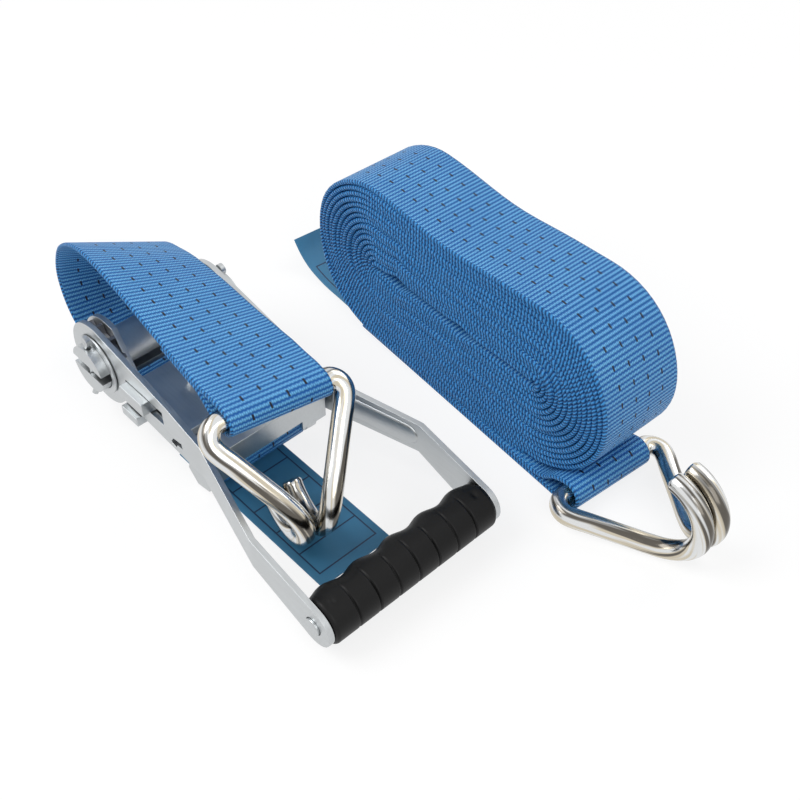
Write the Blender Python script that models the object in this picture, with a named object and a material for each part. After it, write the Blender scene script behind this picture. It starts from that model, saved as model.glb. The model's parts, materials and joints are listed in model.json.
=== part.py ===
"""Ratchet tie down for 50 mm webbing: ratchet with short strap and hook, and rolled long strap with hook.

Metres, +Z up, +X from the mandrel to the grip, +Y from the left arm to the right arm.
The origin is the bottom centre of the whole set's box.
"""
import math

import bpy
import bmesh
import numpy as np
from mathutils import Matrix, Vector
from mathutils.geometry import tessellate_polygon

# driving sizes
WEB_W = 0.050            # webbing width, the scale of everything
WEB_T = 0.0022           # webbing thickness
PLATE_T = 0.003          # pressed steel plate
GAP = 0.0003             # clearance between touching pieces
ROD_R = 0.005            # hook rod radius
MANDREL_R = 0.013        # radius over both mandrel halves
MANDREL_SLOT = 0.005     # slot between the halves
AXIS_Z = 0.035           # mandrel axis above the floor
WHEEL_TIP = 0.021        # ratchet wheel radius over the teeth
WHEEL_ROOT = 0.0165      # ratchet wheel radius at the roots
WHEEL_T = 0.004          # ratchet wheel thickness
TEETH = 12               # teeth on each wheel
HANDLE_L = 0.1848        # mandrel axis to grip axis
GRIP_Z = 0.0178          # grip axis above the floor
GRIP_R = 0.0124          # grip radius
FLARE_X0 = 0.086         # arms start to spread
FLARE_X1 = 0.143         # arms run parallel again
GRIP_HALF = 0.0491       # half length of the grip
BOLT_X = 0.076           # strap bolt along the frame
BOLT_R = 0.005           # strap bolt radius
SLEEVE_R = 0.007         # sleeve on the strap bolt
PAWL_PULL = 0.008        # travel of the drive pawl
LOCK_PULL = 0.007        # travel of the lock pawl
HOOK_BAR_Z = 0.075       # bar of the short strap's hook above the floor
HOOK_BAR_X = 0.113       # bar of the short strap's hook from the mandrel
HOOK_SIDE = -0.012       # the loose strap lies a little to the left at the hook
BEND_SIDE = -0.0015      # and less so at its big bend
HOOK_YAW = -11.3         # degrees the short strap's hook is turned to the left
HOOK_PITCH = 47.0        # degrees the short strap's hook hangs down
HOOK_CURL = 0.0200       # rod centre radius of the J curl
HOOK_TIP = 187.0         # degrees that the J curls round
HOOK_BEND = 0.0072       # rod centre radius where a leg leaves the bar
HOOK_SLANT = 30.0        # degrees that each leg slants in towards the other
ROLL_TURNS = 16          # turns in the long strap roll
ROLL_PITCH = 0.00300     # turn to turn distance
ROLL_FLAT = 0.0564       # half length of the roll's flat part
ROLL_YAW = -2.0          # degrees
ROLL_XY = (0.115, 0.122)
TAIL_YAW = -5.0          # degrees
TAIL_XY = (0.207, 0.114)
STRAP_TILT = -0.40       # twist of the short strap's big bend, its right edge low
LABEL_W = 0.043          # sewn label width
LABEL_T = 0.0007         # sewn label thickness

# layers outward from the middle, left and right alike
FRAME_IN = WEB_W / 2 + 0.0015
FRAME_OUT = FRAME_IN + PLATE_T
WHEEL_IN = FRAME_OUT + GAP
WHEEL_OUT = WHEEL_IN + WHEEL_T
ARM_IN = WHEEL_OUT + 0.0005
ARM_OUT = ARM_IN + PLATE_T
ARM_IN_WIDE = GRIP_HALF + GAP
WASHER_IN = ARM_OUT + GAP
WASHER_OUT = WASHER_IN + 0.0012
MANDREL_END = ARM_OUT + 0.0066
LOOP_GAP = 0.0010                                   # webbing loop clearance round a hook bar
LOOP_R = ROD_R + LOOP_GAP + WEB_T / 2
BOLT_LOOP_R = SLEEVE_R + GAP + WEB_T / 2
RUN_Z = LABEL_T + 0.0005 + WEB_T / 2                # lower strap run, on the label
LAYER = WEB_T + 0.0004                              # sewn layers
BOLT_Z = RUN_Z + BOLT_LOOP_R
PAWL_Z0 = AXIS_Z - 0.002
PAWL_Z1 = AXIS_Z + 0.001
NOSE_X = WHEEL_TIP + 0.0025
LOCK_Z0 = AXIS_Z - 0.014
LOCK_Z1 = AXIS_Z - 0.010
LOCK_X0 = 0.0132
LOCK_X1 = 0.034
LOCK_EAR_X = 0.0205
STOP_X0 = LOCK_X1 + 0.012
STOP_X1 = STOP_X0 + 0.0018
BASE_Z0 = RUN_Z + LAYER + WEB_T / 2 + 0.0004
BASE_Z1 = BASE_Z0 + 0.0025
TAIL_Z = 0.0002 + WEB_T / 2                          # lowest layer of the long strap's tail
TAIL_BAR_Z = TAIL_Z + LOOP_R

COLOURS = {
    "zinc": (0.74, 0.75, 0.77, 1.0, 1.0, 0.32),
    "rod": (0.78, 0.77, 0.74, 1.0, 1.0, 0.22),
    "dark": (0.20, 0.20, 0.21, 1.0, 1.0, 0.40),
    "spring": (0.45, 0.46, 0.48, 1.0, 1.0, 0.35),
    "plastic": (0.012, 0.012, 0.012, 1.0, 0.0, 0.45),
    "web": (0.05, 0.21, 0.55, 1.0, 0.0, 0.60),
    "label": (0.03, 0.14, 0.30, 1.0, 0.0, 0.55),
}


def clear_scene():
    for thing in list(bpy.data.objects):
        bpy.data.objects.remove(thing, do_unlink=True)


def make(name, verts, faces, look, smooth=False):
    """One closed object with its own material."""
    mesh = bpy.data.meshes.new(name)
    mesh.from_pydata([tuple(map(float, v)) for v in verts], [], faces)
    bm = bmesh.new()
    bm.from_mesh(mesh)
    bmesh.ops.remove_doubles(bm, verts=bm.verts, dist=1e-7)
    bmesh.ops.recalc_face_normals(bm, faces=bm.faces)
    bm.to_mesh(mesh)
    bm.free()
    thing = bpy.data.objects.new(name, mesh)
    bpy.context.scene.collection.objects.link(thing)
    paint(thing, look)
    shade(thing, smooth)
    return thing


def paint(thing, look):
    red, green, blue, alpha, metal, rough = COLOURS[look]
    skin = bpy.data.materials.new(thing.name)
    skin.use_nodes = True
    base = skin.node_tree.nodes["Principled BSDF"]
    base.inputs["Base Color"].default_value = (red, green, blue, alpha)
    base.inputs["Metallic"].default_value = metal
    base.inputs["Roughness"].default_value = rough
    thing.data.materials.clear()
    thing.data.materials.append(skin)


def shade(thing, smooth):
    for face in thing.data.polygons:
        face.use_smooth = smooth


def plate(name, outline, holes, y0, y1, look):
    """A flat plate: an outline in X and Z with holes, as thick as y0 to y1."""
    loops = [list(outline)] + [list(hole) for hole in holes]
    flat = [[Vector((x, z, 0.0)) for x, z in loop] for loop in loops]
    points = [p for loop in loops for p in loop]
    count = len(points)
    faces = []
    for tri in tessellate_polygon(flat):
        faces.append(tuple(tri))
        faces.append(tuple(i + count for i in reversed(tri)))
    start = 0
    for loop in loops:
        size = len(loop)
        for i in range(size):
            a = start + i
            b = start + (i + 1) % size
            faces.append((a, b, b + count, a + count))
        start += size
    verts = [(x, y0, z) for x, z in points] + [(x, y1, z) for x, z in points]
    return make(name, verts, faces, look)


def arc(cx, cz, radius, start, end, count):
    """Points of an arc in degrees, both ends included."""
    turn = [math.radians(start + (end - start) * i / count) for i in range(count + 1)]
    return [(cx + radius * math.cos(t), cz + radius * math.sin(t)) for t in turn]


def circle(cx, cz, radius, count=32):
    return arc(cx, cz, radius, 0.0, 360.0, count)[:-1]


def box_loop(x0, x1, z0, z1):
    return [(x0, z0), (x1, z0), (x1, z1), (x0, z1)]


def slab(name, x0, x1, y0, y1, z0, z1, look="zinc"):
    return plate(name, box_loop(x0, x1, z0, z1), [], y0, y1, look)


def lathe(name, rings, cx, cz, look, count=32):
    """A solid turned about a line along Y: rings are (y, radius), ends closed."""
    verts = []
    faces = []
    for y, radius in rings:
        verts += [(x, y, z) for x, z in circle(cx, cz, radius, count)]
    for k in range(len(rings) - 1):
        for i in range(count):
            j = (i + 1) % count
            faces.append((k * count + i, k * count + j, (k + 1) * count + j, (k + 1) * count + i))
    faces.append(tuple(range(count)))
    faces.append(tuple(range((len(rings) - 1) * count, len(rings) * count)))
    return make(name, verts, faces, look)


def sweep(name, path, radius, look, sides=8):
    """A round rod along a path of 3-D points, with flat ends."""
    path = np.asarray(path, float)
    tangent = np.gradient(path, axis=0)
    tangent /= np.linalg.norm(tangent, axis=1)[:, None]
    side = np.cross(tangent[0], (0.31, 0.17, 0.93))
    side /= np.linalg.norm(side)
    verts = []
    for point, along in zip(path, tangent):
        side = side - along * np.dot(side, along)
        side /= np.linalg.norm(side)
        other = np.cross(along, side)
        for i in range(sides):
            t = 2 * math.pi * (i + 0.5) / sides
            verts.append(point + radius * (math.cos(t) * side + math.sin(t) * other))
    faces = []
    for k in range(len(path) - 1):
        for i in range(sides):
            j = (i + 1) % sides
            faces.append((k * sides + i, k * sides + j, (k + 1) * sides + j, (k + 1) * sides + i))
    faces.append(tuple(range(sides)))
    faces.append(tuple(range((len(path) - 1) * sides, len(path) * sides)))
    return make(name, verts, faces, look, smooth=True)


def strip(name, path, width, thick, look, drift=0.0, lean=0.0, tilt=0.0):
    """A webbing strip: a path in X and Z, thickened along its normal and as wide as width in Y.

    It may drift sideways by drift, lean ahead by lean and rise by tilt times the distance from its middle."""
    path = np.asarray(path, float)
    tangent = np.gradient(path, axis=0)
    tangent /= np.linalg.norm(tangent, axis=1)[:, None]
    normal = np.stack([-tangent[:, 1], tangent[:, 0]], 1) * thick / 2
    drift = np.broadcast_to(drift, len(path))
    lean = np.broadcast_to(lean, len(path))
    tilt = np.broadcast_to(tilt, len(path))
    verts = []
    for p, n, d, k, r in zip(path, normal, drift, lean, tilt):
        for sign, y in ((1, -width / 2), (1, width / 2), (-1, width / 2), (-1, -width / 2)):
            verts.append((p[0] + sign * n[0] + k * y, d + y, p[1] + sign * n[1] + r * y))
    faces = []
    for k in range(len(path) - 1):
        for i in range(4):
            j = (i + 1) % 4
            faces.append((4 * k + i, 4 * k + j, 4 * k + 4 + j, 4 * k + 4 + i))
    faces.append((0, 1, 2, 3))
    last = 4 * (len(path) - 1)
    faces.append((last, last + 1, last + 2, last + 3))
    return make(name, verts, faces, look, smooth=True)


def combine(target, tools, operation):
    """Join tools to, or cut them from, a target, and leave one plain mesh."""
    for tool in tools:
        tool.hide_render = True
        tool.display_type = "WIRE"
        step = target.modifiers.new(operation.lower(), "BOOLEAN")
        step.operation = operation
        step.solver = "EXACT"
        step.object = tool
    graph = bpy.context.evaluated_depsgraph_get()
    graph.update()
    mesh = bpy.data.meshes.new_from_object(target.evaluated_get(graph))
    target.modifiers.clear()
    skin = target.data.materials[0]
    target.data = mesh
    mesh.materials.clear()
    mesh.materials.append(skin)
    mesh.polygons.foreach_set("material_index", np.zeros(len(mesh.polygons), dtype=np.int32))
    for tool in tools:
        bpy.data.objects.remove(tool, do_unlink=True)
    return target


def smooth_path(points, step):
    """A smooth curve through points (Catmull-Rom by chord length), sampled about every step."""
    p = np.asarray(points, float)
    p = np.vstack([2 * p[0] - p[1], p, 2 * p[-1] - p[-2]])
    out = []
    for i in range(1, len(p) - 2):
        chord = np.linalg.norm(p[i + 1] - p[i])
        count = max(1, int(round(chord / step)))
        before = np.linalg.norm(p[i] - p[i - 1])
        after = np.linalg.norm(p[i + 2] - p[i + 1])
        m0 = (p[i + 1] - p[i - 1]) / (before + chord) * chord
        m1 = (p[i + 2] - p[i]) / (chord + after) * chord
        for k in range(count):
            t = k / count
            a = 2 * t ** 3 - 3 * t ** 2 + 1
            b = t ** 3 - 2 * t ** 2 + t
            c = -2 * t ** 3 + 3 * t ** 2
            d = t ** 3 - t ** 2
            out.append(a * p[i] + b * m0 + c * p[i + 1] + d * m1)
    out.append(p[-2])
    return np.array(out)


def frame_pieces():
    """Side plates, base with its spring stop, strap bolt with sleeve and nut, lock pawl and spring."""
    round_r = NOSE_X - 0.0009
    low = BASE_Z0 - 0.0002
    outline = arc(0.0, AXIS_Z, round_r, 75.0, 262.0, 26)
    outline += [(0.012, low), (BOLT_X - 0.010, low)]
    outline += arc(BOLT_X, BOLT_Z, 0.0095, 250.0, 420.0, 16)
    outline += [(0.055, PAWL_Z0 - 0.0035), (0.022, PAWL_Z0 - 0.0030)]
    lock_slot = box_loop(LOCK_X0 - 0.0004, LOCK_X1 + LOCK_PULL + 0.0008, LOCK_Z0 - 0.0004, LOCK_Z1 + 0.0004)
    holes = [circle(0.0, AXIS_Z, MANDREL_R + GAP), circle(BOLT_X, BOLT_Z, BOLT_R + GAP, 20), lock_slot]
    for side, name in ((-1, "frame_plate_left"), (1, "frame_plate_right")):
        plate(name, outline, holes, side * FRAME_IN, side * FRAME_OUT, "zinc")
    base = slab("frame_base", 0.014, STOP_X1, -FRAME_IN + GAP, FRAME_IN - GAP, BASE_Z0, BASE_Z1)
    stop = slab("frame_stop", STOP_X0, STOP_X1, -0.010, 0.010, BASE_Z1 - 0.001, LOCK_Z1 + 0.0015)
    combine(base, [stop], "UNION")
    nose = [(LOCK_X0, LOCK_Z0 + 0.0016), (LOCK_X0 + 0.0055, LOCK_Z0), (LOCK_X1, LOCK_Z0), (LOCK_X1, LOCK_Z1),
            (LOCK_X0 + 0.0055, LOCK_Z1), (LOCK_X0, LOCK_Z1 - 0.0016)]
    pawl = plate("lock_pawl", nose, [], -WHEEL_OUT, WHEEL_OUT, "zinc")
    ears = [slab("ear", LOCK_EAR_X, LOCK_X1, side * (WHEEL_OUT - 0.002), side * (ARM_OUT + 0.0030),
                 LOCK_Z0 - 0.0045, LOCK_Z0 + 0.0010) for side in (-1, 1)]
    combine(pawl, ears, "UNION")
    coil("lock_pawl_spring", LOCK_X1, STOP_X0, 0.5 * (LOCK_Z0 + LOCK_Z1), 0.0024, 5)
    head = 0.0041
    hexagon = [(BOLT_X + 0.0098 * math.cos(a), BOLT_Z + 0.0098 * math.sin(a))
               for a in (math.radians(60 * i + 12) for i in range(6))]
    shank = [(-FRAME_OUT - 0.002, BOLT_R), (WHEEL_OUT, BOLT_R)]
    bolt = lathe("strap_bolt", shank, BOLT_X, BOLT_Z, "zinc", 20)
    cap = plate("bolt_head", hexagon, [], -FRAME_OUT - GAP - head, -FRAME_OUT - GAP, "zinc")
    combine(bolt, [cap], "UNION")
    plate("bolt_nut", hexagon, [circle(BOLT_X, BOLT_Z, BOLT_R + GAP, 20)],
          FRAME_OUT + GAP, FRAME_OUT + GAP + head, "zinc")
    tube("bolt_sleeve", BOLT_X, BOLT_Z, BOLT_R + GAP, SLEEVE_R, FRAME_IN - GAP)


def tube(name, cx, cz, inner, outer, half):
    plate(name, circle(cx, cz, outer, 24), [circle(cx, cz, inner, 24)], -half, half, "dark")


def coil(name, x0, x1, z, radius, turns):
    """A compression spring along X, its wire ends straight for one wire diameter."""
    wire = 0.0005
    count = turns * 10
    a = x0 + wire + GAP
    b = x1 - wire - GAP
    path = []
    for i in range(count + 1):
        t = 2 * math.pi * turns * i / count
        path.append((a + (b - a) * i / count, radius * math.sin(t), z + radius * math.cos(t)))
    first = (path[0][0], path[0][1] - 2 * wire, path[0][2])
    last = (path[-1][0], path[-1][1] + 2 * wire, path[-1][2])
    sweep(name, [first] + path + [last], wire, "spring", 6)


def mandrel_pieces():
    """Two half-moon shafts, the toothed wheels on them, washers and split pins."""
    edge = MANDREL_SLOT / 2
    lean = math.degrees(math.asin(edge / MANDREL_R))
    wheel_lean = math.degrees(math.asin((edge - GAP) / (MANDREL_R + GAP)))
    pin_y = 0.5 * (WASHER_OUT + MANDREL_END)
    pin_r = 0.0016
    halves = []
    for name, start in (("mandrel_half_upper", 0.0), ("mandrel_half_lower", 180.0)):
        moon = arc(0.0, AXIS_Z, MANDREL_R, start + lean, start + 180.0 - lean, 24)
        halves.append(plate(name, moon, [], -MANDREL_END, MANDREL_END, "zinc"))
    for half in halves:
        drills = []
        for side in (-1, 1):
            drill = upright("drill", 0.0, side * pin_y, pin_r + GAP, AXIS_Z - 0.03, AXIS_Z + 0.03)
            drills.append(drill)
        combine(half, drills, "DIFFERENCE")
    step = 360.0 / TEETH
    gap_at = math.degrees(math.atan2(0.5 * (LOCK_Z0 + LOCK_Z1) - AXIS_Z, LOCK_X0 + 0.0018))
    teeth = []
    for i in range(TEETH):
        base = gap_at + i * step
        for turn, radius in ((-8.0, WHEEL_ROOT), (8.0, WHEEL_ROOT), (12.5, WHEEL_TIP), (17.5, WHEEL_TIP)):
            a = math.radians(base + turn)
            teeth.append((radius * math.cos(a), AXIS_Z + radius * math.sin(a)))
    moons = [arc(0.0, AXIS_Z, MANDREL_R + GAP, start + wheel_lean, start + 180.0 - wheel_lean, 24)
             for start in (0.0, 180.0)]
    for side, tag in ((-1, "left"), (1, "right")):
        plate("ratchet_wheel_" + tag, teeth, moons, side * WHEEL_IN, side * WHEEL_OUT, "dark")
        plate("mandrel_washer_" + tag, circle(0.0, AXIS_Z, MANDREL_R + 0.0035),
              [circle(0.0, AXIS_Z, MANDREL_R + GAP)], side * WASHER_IN, side * WASHER_OUT, "zinc")
        y = side * pin_y
        top = AXIS_Z + MANDREL_R
        low = AXIS_Z - MANDREL_R
        path = [(0.0, y, top + 0.0042), (0.0, y, top + 0.002), (0.0, y, top), (0.0, y, AXIS_Z), (0.0, y, low),
                (0.0, y + side * 0.0004, low - 0.0016), (0.0, y + side * 0.0018, low - 0.0040)]
        pin = sweep("cotter_pin_" + tag, path, pin_r, "zinc", 8)
        eye = lathe("eye", [(y - 0.0012, 0.0030), (y + 0.0012, 0.0030)], 0.0, top + 0.0045, "zinc", 16)
        combine(pin, [eye], "UNION")


def upright(name, x, y, radius, z0, z1, count=16):
    """An upright round solid."""
    ring = arc(x, y, radius, 7.0, 367.0, count)[:-1]
    verts = [(px, py, z0) for px, py in ring] + [(px, py, z1) for px, py in ring]
    faces = [(i, (i + 1) % count, (i + 1) % count + count, i + count) for i in range(count)]
    faces += [tuple(range(count)), tuple(range(count, 2 * count))]
    return make(name, verts, faces, "zinc")


def handle_pieces():
    """Arms, grip with its tie bar, the drive pawl with its spring and stop bar."""
    outline = arc(0.0, AXIS_Z, 0.023, 78.0, 328.0, 36)
    outline += [(0.030, AXIS_Z - 0.0114), (FLARE_X0, AXIS_Z - 0.0155), (FLARE_X1, AXIS_Z - 0.0155)]
    outline += arc(HANDLE_L, GRIP_Z, 0.011, 255.0, 440.0, 14)
    outline += [(FLARE_X1, AXIS_Z + 0.0025), (FLARE_X0, AXIS_Z + 0.0055), (0.060, AXIS_Z + 0.0125)]
    ear_x0, ear_x1 = 0.026, 0.045
    ear_z0, ear_z1 = PAWL_Z0, PAWL_Z0 + 0.008
    slot = box_loop(ear_x0 - 0.0008, ear_x1 + PAWL_PULL + 0.003, ear_z0 - 0.0004, ear_z1 + 0.0004)
    punched = [(0.060, 0.0245), (0.064, 0.0235), (0.0655, 0.0260), (0.070, 0.0265), (0.0695, 0.0300),
               (0.063, 0.0290)]
    holes = [circle(0.0, AXIS_Z, MANDREL_R + GAP), slot, punched, circle(HANDLE_L, GRIP_Z, 0.0048, 20)]
    spread = ARM_IN_WIDE - ARM_IN
    for side, tag in ((-1, "left"), (1, "right")):
        arm = plate("handle_arm_" + tag, outline, holes, side * ARM_IN, side * ARM_OUT, "zinc")
        bm = bmesh.new()
        bm.from_mesh(arm.data)
        for x in (FLARE_X0, FLARE_X1):
            bmesh.ops.bisect_plane(bm, geom=bm.verts[:] + bm.edges[:] + bm.faces[:], plane_co=(x, 0, 0),
                                   plane_no=(1, 0, 0), dist=1e-7)
        for vert in bm.verts:
            share = min(max((vert.co.x - FLARE_X0) / (FLARE_X1 - FLARE_X0), 0.0), 1.0)
            vert.co.y += side * spread * share
        bmesh.ops.triangulate(bm, faces=bm.faces[:])
        bm.to_mesh(arm.data)
        bm.free()
    end = GRIP_HALF
    tie = 0.0062
    tenon = 0.0045
    tip = ARM_IN_WIDE + PLATE_T + 0.0012
    lathe("grip_tie_bar", [(-tip, tenon), (-end, tenon), (-end, tie), (end, tie), (end, tenon), (tip, tenon)],
          HANDLE_L, GRIP_Z, "zinc", 24)
    grip(end, tie + GAP)
    low = 0.018
    profile = [(NOSE_X, PAWL_Z0), (0.0895, PAWL_Z0), (0.0895, AXIS_Z - low), (0.0920, AXIS_Z - low),
               (0.0920, PAWL_Z1), (NOSE_X, PAWL_Z1)]
    pawl = plate("drive_pawl", profile, [], -WHEEL_OUT, WHEEL_OUT, "zinc")
    tools = [slab("seat", 0.040, 0.0425, -0.012, 0.012, PAWL_Z1 - 0.001, AXIS_Z + 0.0088)]
    for side in (-1, 1):
        tools.append(slab("ear", ear_x0, ear_x1, side * (WHEEL_OUT - 0.002), side * (ARM_OUT + 0.0045),
                          ear_z0, ear_z1))
    combine(pawl, tools, "UNION")
    notch = slab("flange_notch", 0.0885, 0.0930, -0.0185, 0.0185, AXIS_Z - low - 0.002, AXIS_Z - 0.0125)
    combine(pawl, [notch], "DIFFERENCE")
    stop_x = 0.0715
    slab("spring_stop_bar", stop_x, stop_x + 0.003, -ARM_IN + GAP, ARM_IN - GAP,
         PAWL_Z1 + 0.0005, AXIS_Z + 0.0065)
    coil("drive_pawl_spring", 0.0425, stop_x, AXIS_Z + 0.0044, 0.0024, 7)


def grip(half, bore):
    """The moulded grip: a tube with five finger hollows on the side facing the frame."""
    along, around = 40, 24
    verts = []
    for k in range(along + 1):
        y = -half + 2 * half * k / along
        wave = 0.5 - 0.5 * math.cos(2 * math.pi * 5 * k / along)
        ends = min(1.0, 12.0 * min(k, along - k) / along + 0.86)
        for i in range(around):
            t = 2 * math.pi * i / around
            inner = max(0.0, math.cos(t - math.pi))
            radius = (GRIP_R - 0.0022 * (1 - wave) * inner) * ends
            verts.append((HANDLE_L + radius * math.cos(t), y, GRIP_Z + radius * math.sin(t)))
    rows = along + 1
    faces = []
    for k in range(along):
        for i in range(around):
            j = (i + 1) % around
            faces.append((k * around + i, k * around + j, (k + 1) * around + j, (k + 1) * around + i))
    start = len(verts)
    for y in (-half, half):
        verts += [(x, y, z) for x, z in circle(HANDLE_L, GRIP_Z, bore, around)]
    for i in range(around):
        j = (i + 1) % around
        faces.append((start + i, start + j, start + around + j, start + around + i))
        faces.append((i, j, start + j, start + i))
        last = (rows - 1) * around
        faces.append((last + i, last + j, start + around + j, start + around + i))
    make("grip", verts, faces, "plastic", smooth=True)


def hook_path(curl_sign):
    """Rod centre line of a double J hook: u ahead of the bar, v across the hook's plane, y along the bar.

    The legs run straight into the J and draw together over its first part."""
    half = WEB_W / 2 + 0.0010
    slant, ease = math.radians(HOOK_SLANT), math.radians(75.0)
    pts = [(0.0, 0.0, 0.0), (0.0, 0.0, 0.011), (0.0, 0.0, half)]
    for i in range(1, 8):
        a = (math.pi / 2 + slant) * i / 7
        pts.append((HOOK_BEND - HOOK_BEND * math.cos(a), 0.0, half + HOOK_BEND * math.sin(a)))
    u, _, y = pts[-1]
    leg = ROD_R + GAP
    spare = HOOK_CURL * math.tan(slant) * ease / 2
    run = (y - leg - spare) / math.sin(slant)
    for share in (0.25, 0.5, 0.75, 1.0):
        pts.append((u + run * share * math.cos(slant), 0.0, y - run * share * math.sin(slant)))
    u = pts[-1][0]
    for i in range(1, 12):
        a = math.radians(HOOK_TIP * i / 11)
        pts.append((u + HOOK_CURL * math.sin(a), curl_sign * HOOK_CURL * (1 - math.cos(a)),
                    leg + spare * max(0.0, 1 - a / ease) ** 2))
    other = [(a, b, -c) for a, b, c in reversed(pts[1:])]
    return np.array(other + pts)


def hook(name, bar, pitch, yaw, curl_sign):
    """A hook placed with its bar at a point, dipped by pitch and turned by yaw, degrees."""
    local = hook_path(curl_sign)
    p, w = math.radians(pitch), math.radians(yaw)
    ahead = np.array((math.cos(p) * math.cos(w), math.cos(p) * math.sin(w), -math.sin(p)))
    across = np.array((math.sin(p) * math.cos(w), math.sin(p) * math.sin(w), math.cos(p)))
    along = np.array((-math.sin(w), math.cos(w), 0.0))
    path = np.array(bar) + local[:, :1] * ahead + local[:, 1:2] * across + local[:, 2:] * along
    return sweep(name, path, ROD_R, "rod", 12)


def short_strap():
    """The short strap: sewn loop on the bolt, big bend past the mandrel, run over the top to the hook."""
    bolt = [(BOLT_X + BOLT_LOOP_R * math.cos(a), BOLT_Z + BOLT_LOOP_R * math.sin(a))
            for a in (math.radians(d) for d in (-90, -60, -30, 0, 30, 60, 90, 115))]
    top = RUN_Z + LAYER
    anchor = [(0.002, RUN_Z), (0.030, RUN_Z), (0.060, RUN_Z)] + bolt
    anchor += [(0.0655, BOLT_Z + 0.0045), (0.0580, BOLT_Z - 0.0015), (0.0515, top + 0.0006), (0.0450, top)]
    anchor += [(0.0250, top), (0.0080, top)]
    strip("short_strap_anchor", smooth_path(anchor, 0.004), WEB_W, WEB_T, "web")
    join_x, join_z = 0.0600, HOOK_BAR_Z + 0.0086
    bend = [(0.002 - GAP, RUN_Z), (-0.016, RUN_Z + 0.0010), (-0.034, 0.0140), (-0.0465, 0.0290),
            (-0.0480, 0.0470), (-0.0400, 0.0640), (-0.0235, 0.0785), (-0.0020, 0.0848),
            (0.0250, 0.0858), (join_x, join_z)]
    curve = smooth_path(bend, 0.005)
    lift = np.clip((curve[:, 1] - 0.010) / 0.060, 0.0, 1.0)
    strip("short_strap_bend", curve, WEB_W, WEB_T, "web", *strap_lie(curve[:, 0], lift))
    loop = [(HOOK_BAR_X + LOOP_R * math.cos(a), HOOK_BAR_Z + LOOP_R * math.sin(a))
            for a in (math.radians(d) for d in (86, 55, 25, -5, -35, -65, -95, -118))]
    upper = [(join_x + GAP, join_z), (HOOK_BAR_X - 0.033, HOOK_BAR_Z + 0.0078),
             (HOOK_BAR_X - 0.013, HOOK_BAR_Z + 0.0074)]
    upper += loop
    upper += [(HOOK_BAR_X - 0.012, HOOK_BAR_Z - 0.0010), (HOOK_BAR_X - 0.020, HOOK_BAR_Z + 0.0044),
              (HOOK_BAR_X - 0.028, HOOK_BAR_Z + 0.0050), (HOOK_BAR_X - 0.038, HOOK_BAR_Z + 0.0053),
              (HOOK_BAR_X - 0.048, HOOK_BAR_Z + 0.0057)]
    curve = smooth_path(upper, 0.004)
    strip("short_strap_upper", curve, WEB_W, WEB_T, "web", *strap_lie(curve[:, 0], 1.0))
    slab("label_short", 0.0500, 0.1620, -0.029, -0.029 + LABEL_W, 0.0002, 0.0002 + LABEL_T, "label")


def strap_lie(x, lift):
    """How the loose run lies at x: its drift to the left, its lean with the hook's yaw and its tilt."""
    share = np.clip((x + 0.030) / (HOOK_BAR_X + 0.030), 0.0, 1.0)
    drift = (BEND_SIDE + (HOOK_SIDE - BEND_SIDE) * share) * lift
    lean = -math.tan(math.radians(HOOK_YAW)) * lift
    tilt = STRAP_TILT * np.clip((0.090 - x) / 0.100, 0.0, 1.0) * lift
    return drift, lean, tilt


def turned(thing, x, y, degrees):
    """Turn an object's mesh about Z and set its own origin down at x, y."""
    thing.data.transform(Matrix.Translation((x, y, 0.0)) @ Matrix.Rotation(math.radians(degrees), 4, "Z"))
    return thing


def roll_path():
    """The roll's centre line in X and Z: a stadium spiral about a flat core that ends underneath."""
    points = []
    per_turn = 24
    arc_share = 8
    total = ROLL_TURNS * per_turn - 8
    for i in range(total + 1):
        turn = i / per_turn
        radius = ROLL_PITCH * (turn + 0.62)
        k = i % per_turn
        if k < 4:
            x, z = ROLL_FLAT * (1 - 2 * k / 4), 1.0
        elif k < 4 + arc_share:
            a = math.pi / 2 + math.pi * (k - 4) / arc_share
            x, z = None, a
        elif k < 16:
            x, z = -ROLL_FLAT * (1 - 2 * (k - 12) / 4), -1.0
        else:
            a = -math.pi / 2 + math.pi * (k - 16) / arc_share
            x, z = None, a
        if x is None:
            centre = -ROLL_FLAT if k < 12 else ROLL_FLAT
            points.append((centre + radius * math.cos(z), radius * math.sin(z)))
        else:
            points.append((x, z * radius))
    path = np.array(points)
    top = np.clip(path[:, 1] / 0.042, 0.0, 1.2)
    path[:, 1] -= 0.0034 * top * np.exp(-((path[:, 0] - 0.000) / 0.030) ** 2)
    return path


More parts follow.
